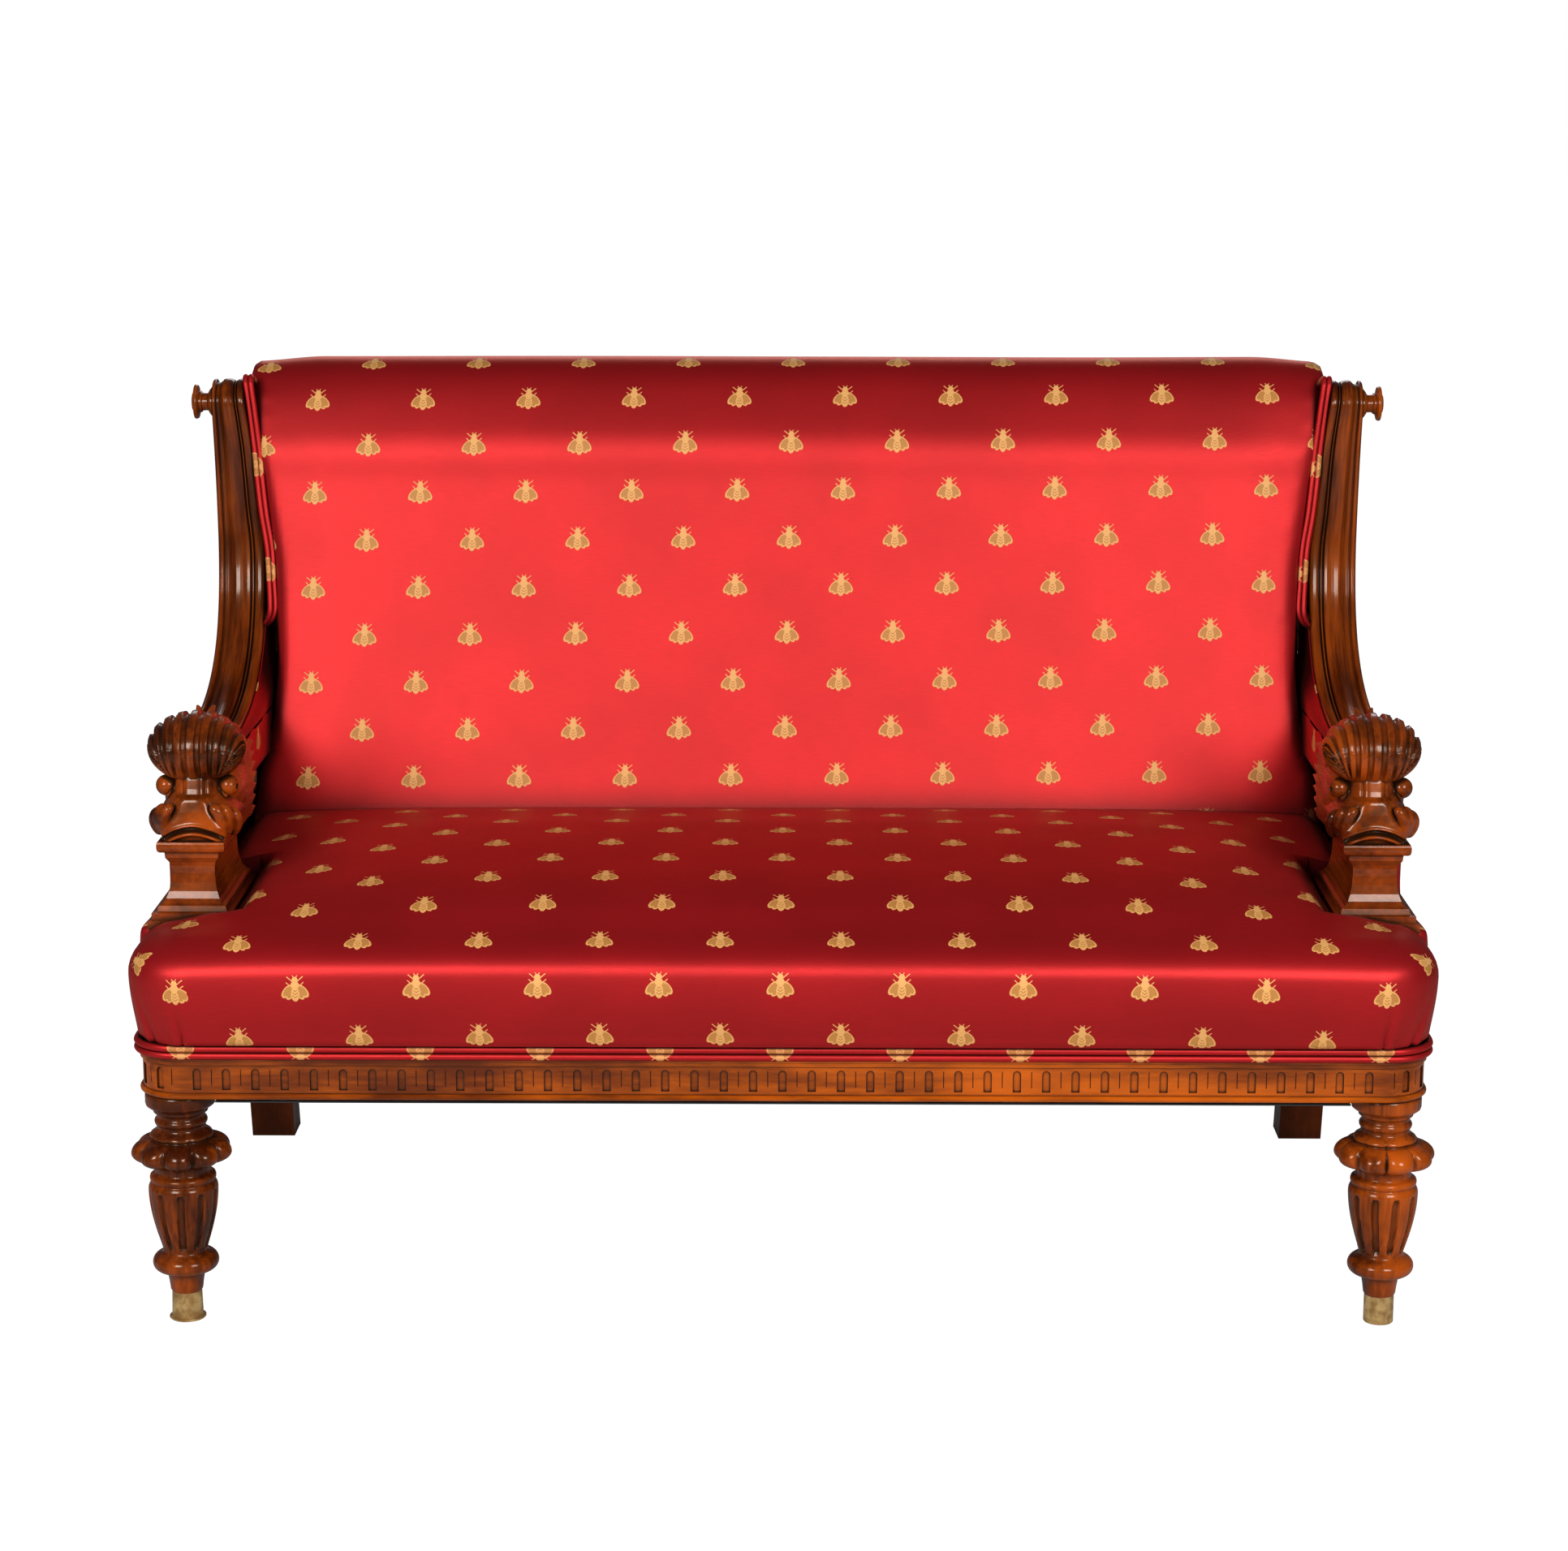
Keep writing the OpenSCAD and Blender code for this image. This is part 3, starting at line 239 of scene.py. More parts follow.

# %% Group: dark old polish and painted shade in the recesses, and rubbed edges
age_and_shade_group, entry, result = make_group(
    "polish_age_and_shade",
    [
        ("Colour", "NodeSocketColor", (0.3, 0.1, 0.03, 1)),
        ("Old Polish And Shade", "NodeSocketColor", (0.02, 0.006, 0.002, 1)),
        ("Reach", "NodeSocketFloat", 0.02),
        ("Amount", "NodeSocketFloat", 0.85),
        ("Rubbed", "NodeSocketFloat", 0.0),
    ],
    [("Colour", "NodeSocketColor"), ("Old Polish And Shade Mask", "NodeSocketFloat")],
)
tree = age_and_shade_group
RUBBED_WOOD = (0.62, 0.15, 0.015)
# Painted shade: the ambient occlusion mask darkens the recesses towards the dark recess colour. It stands
# for old polish and dust, and also for the shade that falls there.
open_sky = add_node(tree, "ShaderNodeAmbientOcclusion", samples=8,
                    inputs={"Distance": entry.outputs["Reach"]})
polish_and_shade = fade(tree, open_sky.outputs["AO"], 0.92, 0.5)
shape = add_node(tree, "ShaderNodeNewGeometry")
edges = fade(tree, shape.outputs["Pointiness"], 0.52, 0.62)
rubbed = maths(tree, "MULTIPLY", edges, entry.outputs["Rubbed"])
warm = blend_colours(tree, rubbed, entry.outputs["Colour"], RUBBED_WOOD)
mask = maths(tree, "MULTIPLY", polish_and_shade, entry.outputs["Amount"])
aged = blend_colours(tree, mask, warm, entry.outputs["Old Polish And Shade"])
fill(tree, result, {"Colour": aged, "Old Polish And Shade Mask": polish_and_shade})
print("group", age_and_shade_group.name)


# %% The woods
def wood(name, dark, light, stretch, reach=0.02, amount=0.95, coat=0.35, rubbed=0.0, swept=False):
    """A polished wood; stretch is low along the grain. A swept piece has its own length in its UV map."""
    material, tree, bsdf = new_material(name)
    place = add_node(tree, "ShaderNodeTexCoord")
    grain = add_node(tree, "ShaderNodeGroup", node_tree=grain_group, inputs={
        "Vector": place.outputs["UV" if swept else "Object"], "Stretch": stretch,
        "Dark": (*dark, 1), "Light": (*light, 1)})
    # This group paints shade into the recesses along with the old polish.
    age = add_node(tree, "ShaderNodeGroup", node_tree=age_and_shade_group, inputs={
        "Colour": grain.outputs["Colour"], "Reach": reach, "Amount": amount, "Rubbed": rubbed})
    dull = maths(tree, "MULTIPLY_ADD", age.outputs["Old Polish And Shade Mask"], 0.25, grain.outputs["Roughness"])
    lift = add_node(tree, "ShaderNodeBump", inputs={
        "Strength": 0.02, "Distance": 0.001, "Height": grain.outputs["Height"]})
    fill(tree, bsdf, {
        "Base Color": age.outputs["Colour"], "Roughness": dull, "Normal": lift.outputs[0],
        "Coat Weight": coat, "Coat Roughness": 0.12,
        "Specular IOR Level": 0.2, "Specular Tint": (1.0, 0.6, 0.3, 1.0)})
    return material


WALNUT_DARK = (0.05, 0.0065, 0.0008)
WALNUT_LIGHT = (0.36, 0.062, 0.0045)
BEECH = (0.42, 0.26, 0.13), (0.6, 0.42, 0.24)
EDGE_WEAR = 0.4
ALONG_X = (0.12, 1.0, 1.0)
ALONG_Y = (1.0, 0.12, 1.0)
ALONG_Z = (1.0, 1.0, 0.12)
walnut_x = wood("walnut_along_x", (0.10, 0.014, 0.0008), (0.60, 0.110, 0.003), ALONG_X, reach=0.012)
walnut_y = wood("walnut_along_y", (0.06, 0.008, 0.0008), (0.34, 0.055, 0.004), ALONG_Y, reach=0.014)
walnut_z = wood("walnut_along_z", WALNUT_DARK, WALNUT_LIGHT, ALONG_Z)
carved = wood("walnut_carved", (0.035, 0.005, 0.0008), (0.36, 0.058, 0.004), ALONG_Y,
              reach=0.009, amount=0.97, rubbed=EDGE_WEAR)
turned = wood("walnut_turned", (0.045, 0.0065, 0.001), (0.5, 0.085, 0.005), ALONG_Z,
              reach=0.010, amount=0.97, rubbed=EDGE_WEAR)
plain_leg = wood("stained_leg", (0.04, 0.006, 0.001), (0.12, 0.02, 0.003), ALONG_Z, coat=0.2, amount=0.3)
swept_walnut = wood("walnut_swept", WALNUT_DARK, WALNUT_LIGHT, ALONG_Y,
                    reach=0.012, rubbed=EDGE_WEAR, swept=True)
beech_x = wood("raw_beech_x", *BEECH, ALONG_X, amount=0.2, coat=0.0)
beech_z = wood("raw_beech_z", *BEECH, ALONG_Z, amount=0.2, coat=0.0)
print("woods", [m.name for m in bpy.data.materials if "wal" in m.name or "beech" in m.name])

# %% [markdown]
# ## Metals and inner cloths
# The sockets are aged brass, lighter where hands and floors rubbed them. The springs and screws
# are plain steel. Jute webbing and hessian get a coarse weave, the bottoming cloth a fine one.


# %% Metals
def metal(name, dark, light, rough, shine=1.0):
    """A metal that is clouded with age."""
    material, tree, bsdf = new_material(name)
    place = add_node(tree, "ShaderNodeTexCoord")
    spots = add_node(tree, "ShaderNodeTexNoise",
                     inputs={"Vector": place.outputs["Object"], "Scale": 90.0, "Detail": 6.0})
    age = fade(tree, spots.outputs[0], 0.35, 0.68)
    lift = add_node(tree, "ShaderNodeBump",
                    inputs={"Strength": 0.1, "Distance": 0.0006, "Height": spots.outputs[0]})
    fill(tree, bsdf, {
        "Base Color": blend_colours(tree, age, dark, light), "Metallic": shine, "Normal": lift.outputs[0],
        "Roughness": maths(tree, "MULTIPLY_ADD", age, -0.15, rough + 0.15)})
    return material


brass = metal("aged_brass", (0.4, 0.22, 0.07), (0.8, 0.54, 0.22), 0.3, shine=0.65)
steel = metal("spring_steel", (0.12, 0.12, 0.12), (0.4, 0.4, 0.42), 0.35)


# %% Group: plain weave, from two sets of threads
weave_group, entry, result = make_group(
    "plain_weave",
    [("Vector", "NodeSocketVector", None), ("Threads", "NodeSocketFloat", 1000.0)],
    [("Height", "NodeSocketFloat")],
)
tree = weave_group
split = add_node(tree, "ShaderNodeSeparateXYZ", inputs={0: entry.outputs["Vector"]})
spread = maths(tree, "ADD", split.outputs["X"], split.outputs["Z"])
across = maths(tree, "SINE", maths(tree, "MULTIPLY", spread, entry.outputs["Threads"]))
depth = maths(tree, "ADD", split.outputs["Y"], maths(tree, "MULTIPLY", split.outputs["Z"], 0.5))
along = maths(tree, "SINE", maths(tree, "MULTIPLY", depth, entry.outputs["Threads"]))
crossed = maths(tree, "MULTIPLY", across, along)
fill(tree, result, {"Height": maths(tree, "MULTIPLY_ADD", crossed, 0.5, 0.5)})


def coarse_cloth(name, dark, light, threads):
    """A rough woven cloth for the hidden parts."""
    material, tree, bsdf = new_material(name)
    place = add_node(tree, "ShaderNodeTexCoord")
    weave = add_node(tree, "ShaderNodeGroup", node_tree=weave_group,
                     inputs={"Vector": place.outputs["Object"], "Threads": threads})
    lift = add_node(tree, "ShaderNodeBump",
                    inputs={"Strength": 0.5, "Distance": 0.0005, "Height": weave.outputs[0]})
    fill(tree, bsdf, {"Base Color": blend_colours(tree, weave.outputs[0], dark, light),
                      "Normal": lift.outputs[0], "Roughness": 0.9})
    return material


jute = coarse_cloth("jute", (0.28, 0.19, 0.09), (0.55, 0.41, 0.23), 2200.0)
black_cotton = coarse_cloth("black_cotton", (0.012, 0.012, 0.013), (0.035, 0.035, 0.038), 5000.0)
print("cloths", jute.name, black_cotton.name)

# %% Give each CAD node its finish
finishes = {
    walnut_x: ["front_rail", "corner_block_left", "corner_block_right"],
    walnut_y: ["side_rail_left", "side_rail_right", "plinth_left", "plinth_right"],
    walnut_z: ["arm_left", "arm_right"],
    carved: ["dolphin_head_left", "dolphin_head_right"],
    turned: ["front_leg_left", "front_leg_right", "scroll_boss_left", "scroll_boss_right"],
    plain_leg: ["rear_leg_left", "rear_leg_right"],
    beech_x: ["rear_rail", "corner_braces", "back_top_rail", "back_lower_rail"],
    beech_z: ["back_centre_stile"],
    brass: ["leg_socket_left", "leg_socket_right"],
    steel: ["brace_screws", "seat_springs"],
    jute: ["seat_webbing", "seat_hessian", "back_webbing"],
    black_cotton: ["dust_cover"],
}
for material, nodes in finishes.items():
    for node in nodes:
        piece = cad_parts[node]
        piece.data.materials.clear()
        piece.data.materials.append(material)
print("finished", sum(len(nodes) for nodes in finishes.values()), "CAD nodes")

# %% [markdown]
# ## Satin with woven bees
# The cover is a crimson satin: a smooth cloth whose long floating threads throw a strong, red
# light back. The shader is partly metal, which gives that coloured gloss; a plain coat would turn
# it white. The gold bees are woven in rows, each row half a step aside of the last. They could be
# an image, but shapes worked out from distances stay sharp at any size and need no file. Every
# cover carries a UV map measured in metres of cloth, so that the bees keep their size and follow
# the cloth over every curve.

# %% Group: distances that draw one bee in each cell of the repeat
BEE_STEP = 0.1285
BEE_ROW = 0.0592
MM = 0.001


def ellipse(tree, x, y, centre, radii, turn=0.0):
    """Rough distance in millimetres from an ellipse's edge, below zero inside."""
    dx = maths(tree, "SUBTRACT", x, centre[0])
    dy = maths(tree, "SUBTRACT", y, centre[1])
    c, s = math.cos(math.radians(turn)), math.sin(math.radians(turn))
    along = maths(tree, "MULTIPLY_ADD", dx, c / radii[0], maths(tree, "MULTIPLY", dy, s / radii[0]))
    across = maths(tree, "MULTIPLY_ADD", dy, c / radii[1], maths(tree, "MULTIPLY", dx, -s / radii[1]))
    square = maths(tree, "MULTIPLY_ADD", along, along, maths(tree, "MULTIPLY", across, across))
    return maths(tree, "MULTIPLY_ADD", maths(tree, "SQRT", square), min(radii), -min(radii))


def stroke(tree, x, y, start, end, half):
    """Distance from a short round-ended stroke."""
    ex, ey = end[0] - start[0], end[1] - start[1]
    dx = maths(tree, "SUBTRACT", x, start[0])
    dy = maths(tree, "SUBTRACT", y, start[1])
    size = ex * ex + ey * ey
    t = maths(tree, "MULTIPLY_ADD", dx, ex / size, maths(tree, "MULTIPLY", dy, ey / size), clamp=True)
    ox = maths(tree, "MULTIPLY_ADD", t, -ex, dx)
    oy = maths(tree, "MULTIPLY_ADD", t, -ey, dy)
    square = maths(tree, "MULTIPLY_ADD", ox, ox, maths(tree, "MULTIPLY", oy, oy))
    return maths(tree, "SUBTRACT", maths(tree, "SQRT", square), half)


def nearest(tree, first, *others):
    """The smallest of several distances."""
    for other in others:
        first = maths(tree, "MINIMUM", first, other)
    return first


bee_group, entry, result = make_group(
    "woven_bees",
    [("Cloth", "NodeSocketVector", None)],
    [("Bee", "NodeSocketFloat"), ("Fine", "NodeSocketFloat"), ("Thread", "NodeSocketFloat")],
)
tree = bee_group
split = add_node(tree, "ShaderNodeSeparateXYZ", inputs={0: entry.outputs["Cloth"]})
row = maths(tree, "DIVIDE", split.outputs["Y"], BEE_ROW)
odd = maths(tree, "MODULO", maths(tree, "ABSOLUTE", maths(tree, "FLOOR", row)), 2.0)
column = maths(tree, "MULTIPLY_ADD", odd, 0.5, maths(tree, "DIVIDE", split.outputs["X"], BEE_STEP))
side = maths(tree, "SUBTRACT", maths(tree, "FRACT", column), 0.5)
x = maths(tree, "MULTIPLY", maths(tree, "ABSOLUTE", side), BEE_STEP / MM)
y = maths(tree, "MULTIPLY", maths(tree, "SUBTRACT", maths(tree, "FRACT", row), 0.5), BEE_ROW / MM)
head = ellipse(tree, x, y, (0, 9.9), (3.2, 3.6))
thorax = ellipse(tree, x, y, (0, 4.6), (4.4, 4.4))
belly = ellipse(tree, x, y, (0, -6.2), (4.3, 8.0))
wing = ellipse(tree, x, y, (7.6, -2.2), (9.2, 4.8), -50)
under_wing = ellipse(tree, x, y, (5.6, -6.4), (6.2, 3.5), -62)
legs = nearest(
    tree,
    stroke(tree, x, y, (3.0, 9.0), (8.2, 13.6), 0.5),
    stroke(tree, x, y, (4.5, 3.0), (9.0, 7.4), 0.5),
    stroke(tree, x, y, (0.8, 12.4), (2.3, 14.8), 0.42),
)
whole = nearest(tree, head, thorax, belly, wing, under_wing, legs)
fill(tree, result, {"Bee": fade(tree, whole, 0.35, -0.35)})
wing_fill = maths(tree, "MAXIMUM", fade(tree, wing, -0.9, -1.5), fade(tree, under_wing, -0.9, -1.4))
bent = maths(tree, "MULTIPLY_ADD", x, -0.8, y)
veins = maths(tree, "SINE", maths(tree, "MULTIPLY", maths(tree, "ADD", x, y), 2.4))
wing_fill = maths(tree, "MULTIPLY", wing_fill, fade(tree, veins, 0.95, 0.6))
bands = fade(tree, maths(tree, "SINE", maths(tree, "MULTIPLY", bent, 1.75)), 0.1, 0.7)
belly_fill = maths(tree, "MULTIPLY", fade(tree, belly, -0.8, -1.3), bands)
off_body = fade(tree, nearest(tree, head, thorax, belly), -0.1, 0.5)
wing_fill = maths(tree, "MULTIPLY", wing_fill, off_body)
fine = maths(tree, "MAXIMUM", wing_fill, maths(tree, "MULTIPLY", belly_fill, 0.9))
fill(tree, result, {"Fine": fine})
slant = maths(tree, "ADD", split.outputs["X"], maths(tree, "MULTIPLY", split.outputs["Y"], 0.35))
threads = maths(tree, "SINE", maths(tree, "MULTIPLY", slant, 9000.0))
fill(tree, result, {"Thread": maths(tree, "MULTIPLY_ADD", threads, 0.5, 0.5)})
print("group", bee_group.name, len(bee_group.nodes), "nodes")

# %% The satin itself
CRIMSON = (0.56, 0.011, 0.016)
GOLD_THREAD = (0.83, 0.42, 0.13)
GOLD_SHADE = (0.45, 0.17, 0.03)
CREASE_SHADE = (0.06, 0.0005, 0.002)
CREASE_REACH = 0.07
SATIN_METAL = 0.62
SATIN_ROUGH = 0.42


def satin_cloth(name, bees=1.0):
    """Crimson satin; bees of 0 leaves the woven figures out."""
    material, tree, bsdf = new_material(name)
    cloth = add_node(tree, "ShaderNodeUVMap", uv_map="cloth")
    figure = add_node(tree, "ShaderNodeGroup", node_tree=bee_group, inputs={"Cloth": cloth.outputs[0]})
    drift = add_node(tree, "ShaderNodeTexNoise",
                     inputs={"Vector": cloth.outputs[0], "Scale": 7.0, "Detail": 3.0})
    stretched = add_node(tree, "ShaderNodeVectorMath", operation="MULTIPLY",
                         inputs={0: cloth.outputs[0], 1: (60.0, 900.0, 1.0)})
    slubs = add_node(tree, "ShaderNodeTexNoise",
                     inputs={"Vector": stretched.outputs[0], "Scale": 1.0, "Detail": 2.0})
    worn, thin = [[c * share for c in CRIMSON] for share in (0.86, 0.7)]
    ground = blend_colours(tree, fade(tree, drift.outputs[0], 0.3, 0.7), CRIMSON, worn)
    ground = blend_colours(tree, fade(tree, slubs.outputs[0], 0.35, 0.75, 0.0, 0.35), ground, thin)
    gold = blend_colours(tree, figure.outputs["Fine"], GOLD_THREAD, GOLD_SHADE)
    bee = maths(tree, "MULTIPLY", figure.outputs["Bee"], bees)
    # Painted shade: an ambient occlusion mask darkens the cloth towards CREASE_SHADE in creases and where
    # the cloth meets other parts.
    near = add_node(tree, "ShaderNodeAmbientOcclusion", samples=8, inputs={"Distance": CREASE_REACH})
    crease = fade(tree, near.outputs["AO"], 0.82, 0.4, 0.0, 0.95)
    cover = blend_colours(tree, bee, ground, gold)
    rough = maths(tree, "MULTIPLY_ADD", slubs.outputs[0], 0.06, SATIN_ROUGH)
    rough = maths(tree, "MULTIPLY_ADD", bee, 0.12, rough)
    height = maths(tree, "MULTIPLY_ADD", figure.outputs["Thread"], 0.25, maths(tree, "MULTIPLY", bee, 1.2))
    height = maths(tree, "MULTIPLY_ADD", slubs.outputs[0], 0.5, height)
    lift = add_node(tree, "ShaderNodeBump", inputs={"Strength": 0.35, "Distance": 0.0004, "Height": height})
    fill(tree, bsdf, {
        "Base Color": blend_colours(tree, crease, cover, CREASE_SHADE), "Roughness": rough,
        "Normal": lift.outputs[0], "Metallic": maths(tree, "MULTIPLY_ADD", bee, -0.6, SATIN_METAL),
        "Specular IOR Level": 0.65, "Specular Tint": (1.0, 0.75, 0.6, 1.0),
        "Sheen Weight": 0.02, "Sheen Tint": (1.0, 0.35, 0.3, 1.0)})
    return material


satin = satin_cloth("crimson_satin")
piping_satin = satin_cloth("piping_satin", bees=0.8)


# %% Helpers for modelled pieces
SIDES = (("left", -1), ("right", 1))
MERGE = 1e-5


def new_piece(name, bm, material, replaced=()):
    """Turns a bmesh into a piece that rides on the settee and stands for the CAD nodes named."""
    mesh = bpy.data.meshes.new(name)
    bm.to_mesh(mesh)
    bm.free()
    mesh.shade_smooth()
    mesh.materials.append(material)
    piece = bpy.data.objects.new(name, mesh)
    bpy.context.scene.collection.objects.link(piece)
    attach(piece, "root")
    if replaced:
        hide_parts(*replaced)
    print(name, len(mesh.polygons), "faces")
    return piece


def flat_grid(low, high, cell):
    """A flat grid in metres of cloth between two corners, with an empty cloth UV map."""
    bm = bmesh.new()
    bm.loops.layers.uv.new("cloth")
    size = [high[i] - low[i] for i in range(2)]
    bmesh.ops.create_grid(bm, x_segments=round(size[0] / cell), y_segments=round(size[1] / cell), size=0.5)
    bmesh.ops.scale(bm, vec=(size[0], size[1], 1), verts=bm.verts)
    bmesh.ops.translate(bm, vec=((low[0] + high[0]) / 2, (low[1] + high[1]) / 2, 0), verts=bm.verts)
    return bm


def cut_line(bm, point, normal):
    """Adds a line of edges where a plane crosses the mesh."""
    geom = bm.verts[:] + bm.edges[:] + bm.faces[:]
    bmesh.ops.bisect_plane(bm, geom=geom, dist=1e-6, plane_co=point, plane_no=normal)


def open_edges(bm):
    """The edges of a sheet's rim, or of a hole."""
    return [e for e in bm.edges if e.is_boundary]


def close_up(bm, merge=0.0):
    """Merges doubles where a distance is given, fills the holes and points the faces outwards."""
    if merge:
        bmesh.ops.remove_doubles(bm, verts=bm.verts, dist=merge)
    bmesh.ops.holes_fill(bm, edges=open_edges(bm), sides=0)
    bmesh.ops.recalc_face_normals(bm, faces=bm.faces)


def back_wall(bm, place):
    """Gives a sheet its back: the rim is extruded, place(point) moves it, and one face closes it."""
    for v in bmesh.ops.extrude_edge_only(bm, edges=open_edges(bm))["geom"]:
        if isinstance(v, bmesh.types.BMVert):
            v.co = place(v.co)
    bmesh.ops.contextual_create(bm, geom=open_edges(bm))
    bmesh.ops.recalc_face_normals(bm, faces=bm.faces)


def soften(bm, times):
    """Moves each point half way towards the middle of its neighbours, a few times."""
    axes = {"use_axis_x": True, "use_axis_y": True, "use_axis_z": True}
    for _ in range(times):
        bmesh.ops.smooth_vert(bm, verts=bm.verts, factor=0.5, **axes)


def pour(part, bm):
    """Adds one bmesh to another."""
    mesh = bpy.data.meshes.new("part")
    part.to_mesh(mesh)
    part.free()
    bm.from_mesh(mesh)
    bpy.data.meshes.remove(mesh)


def fused(piece, voxel):
    """The even mesh that a voxel remesh makes of a piece."""
    mould = piece.modifiers.new("fuse", "REMESH")
    mould.mode = "VOXEL"
    mould.voxel_size = voxel
    mesh = bpy.data.meshes.new_from_object(piece.evaluated_get(bpy.context.evaluated_depsgraph_get()))
    piece.modifiers.clear()
    return mesh


def drop_faces(bm, unwanted):
    """Deletes the faces whose middle passes the test."""
    faces = [f for f in bm.faces if unwanted(f.calc_center_median())]
    bmesh.ops.delete(bm, geom=faces, context="FACES")


def write_cloth(bm, cloth, name="cloth"):
    """Fills a UV map: cloth(point, middle of the face) gives metres of cloth, or of wood."""
    layer = bm.loops.layers.uv[name]
    for face in bm.faces:
        middle = face.calc_center_median()
        for loop in face.loops:
            loop[layer].uv = cloth(loop.vert.co, middle)


def ramp(x, start, end):
    """0 before start, 1 after end, smooth between."""
    t = min(1.0, max(0.0, (x - start) / (end - start)))
    return t * t * (3 - 2 * t)


def read_table(x, rows):
    """A smooth reading between (input, output) rows."""
    if x <= rows[0][0]:
        return rows[0][1]
    for i in range(len(rows) - 1):
        (x0, y0), (x1, y1) = rows[i], rows[i + 1]
        if x <= x1:
            before = rows[max(i - 1, 0)]
            after = rows[min(i + 2, len(rows) - 1)]
            m0 = (y1 - before[1]) / (x1 - before[0])
            m1 = (after[1] - y0) / (after[0] - x0)
            t, h = (x - x0) / (x1 - x0), x1 - x0
            return ((2 * t**3 - 3 * t**2 + 1) * y0 + (t**3 - 2 * t**2 + t) * h * m0
                    + (3 * t**2 - 2 * t**3) * y1 + (t**3 - t**2) * h * m1)
    return rows[-1][1]


# %% [markdown]
# ## Seat
# The seat is stuffed over its springs: the cloth runs from the tuck at the back over the crown,
# turns over the front edge and rolls under to the piping. It is modelled as a sheet in metres of
# cloth. Each point of the flat sheet knows how far past the crest it lies, and is bent down there.
# At the front corners the sheet has too much cloth, which is what the pleats take up.

# %% The seat's sizes, from the frame
seat_low, seat_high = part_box("seat_pad")
plinth_low, plinth_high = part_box("plinth_right")
rail_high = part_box("front_rail")[1]
SEAT_CROWN = [(-0.346, -0.051), (-0.325, -0.041), (-0.295, -0.026), (-0.239, -0.0115), (-0.182, -0.005),
              (-0.124, -0.001), (-0.067, -0.0005), (-0.009, -0.002), (0.048, -0.008), (0.106, -0.0145),
              (0.175, -0.026)]
SEAT_RIM = [(-0.346, -0.054), (-0.27, -0.054), (-0.1, -0.047), (0.12, -0.034), (0.175, -0.034)]
CROWN_HALF = 0.66
SEAT_EDGE = 0.046
SEAT_ROLL = 0.008
FRONT_DRAW_IN, SIDE_DRAW_IN = 0.022, 0.006
TUCK_DEEP, TUCK_WIDE = 0.016, 0.010
STILE_ROOM = 0.058
CORNER_CREST = 0.026
CELL = 0.0075
ear_half = seat_high.x
crest_x = ear_half - SEAT_EDGE
crest_y = seat_low.y + SEAT_EDGE
mid_half = plinth_low.x - 0.0005
ear_back = plinth_low.y - 0.001
side_back = plinth_high.y + 0.001
rear_half = ear_half - STILE_ROOM
cloth_fall = 0.19
low_z = rail_high.z - 0.001
print("seat", round(ear_half, 3), "wide by half, crest at", round(crest_y, 3))


def seat_top(x, y):
    """Height of the seat's top: a level rim at the front, and a crown that rises inside it."""
    crown, rim = read_table(y, SEAT_CROWN), read_table(y, SEAT_RIM)
    return seat_high.z + rim + (crown - rim) * (1 - min(1.0, abs(x / CROWN_HALF)) ** 5)


def past_crest(p, q):
    """Nearest point on the crest line, outward direction and distance past it."""
    side = 1 if p > 0 else -1
    ax = abs(p)
    cx, cy = crest_x - CORNER_CREST, crest_y + CORNER_CREST
    if ax > cx and q < cy:
        dx, dy = ax - cx, q - cy
        far = math.hypot(dx, dy)
        if far > CORNER_CREST:
            ox, oy = dx / far, dy / far
            crest = (side * (cx + ox * CORNER_CREST), cy + oy * CORNER_CREST)
            return crest, (side * ox, oy), far - CORNER_CREST
    elif q < crest_y:
        return (p, crest_y), (0, -1), crest_y - q
    elif ax > crest_x:
        return (side * crest_x, q), (side, 0), ax - crest_x
    return (p, q), (0, 0), 0.0


def shoulder_tables(start, run, drop):
    """Way out and way down by length, on the part of an ellipse that begins at an angle."""
    first = math.radians(start)
    wide, tall = run / (1 - math.sin(first)), drop / math.cos(first)
    outs, downs, length, last = [], [], 0.0, None
    for i in range(41):
        a = first + (math.pi / 2 - first) * i / 40
        here = Vector((wide * (math.sin(a) - math.sin(first)), tall * (math.cos(first) - math.cos(a))))
        if last:
            length += (here - last).length
        outs.append((length, here.x))
        downs.append((length, here.y))
        last = here
    return outs, downs


FRONT_DROP = 0.037
SIDE_DROP = 0.044
FRONT_SHOULDER = shoulder_tables(30.0, SEAT_EDGE, FRONT_DROP)
SIDE_SHOULDER = shoulder_tables(0.0, SEAT_EDGE, SIDE_DROP)


def shoulder_of(front):
    """Length and drop of the shoulder, by how far this edge belongs to the front."""
    length = SIDE_SHOULDER[0][-1][0] + (FRONT_SHOULDER[0][-1][0] - SIDE_SHOULDER[0][-1][0]) * front
    return length, SIDE_DROP + (FRONT_DROP - SIDE_DROP) * front


def fall_shape(d, height, draw_in, front):
    """How far out and down the cloth is, d past the crest: shoulder, face that draws in, roll under."""
    shoulder, drop = shoulder_of(front)
    face = height - drop - SEAT_ROLL
    if d < shoulder:
        spots = [[read_table(d / shoulder * table[-1][0], table) for table in pair]
                 for pair in (SIDE_SHOULDER, FRONT_SHOULDER)]
        return tuple(a + (b - a) * front for a, b in zip(*spots))
    if d < shoulder + face:
        t = (d - shoulder) / face
        return SEAT_EDGE - draw_in * t**1.8, drop + face * t
    a = min((d - shoulder - face) / SEAT_ROLL, math.pi / 2)
    out = SEAT_EDGE - draw_in - 0.5 * SEAT_ROLL * (1 - math.cos(a))
    return out, height - SEAT_ROLL * (1 - math.sin(a))


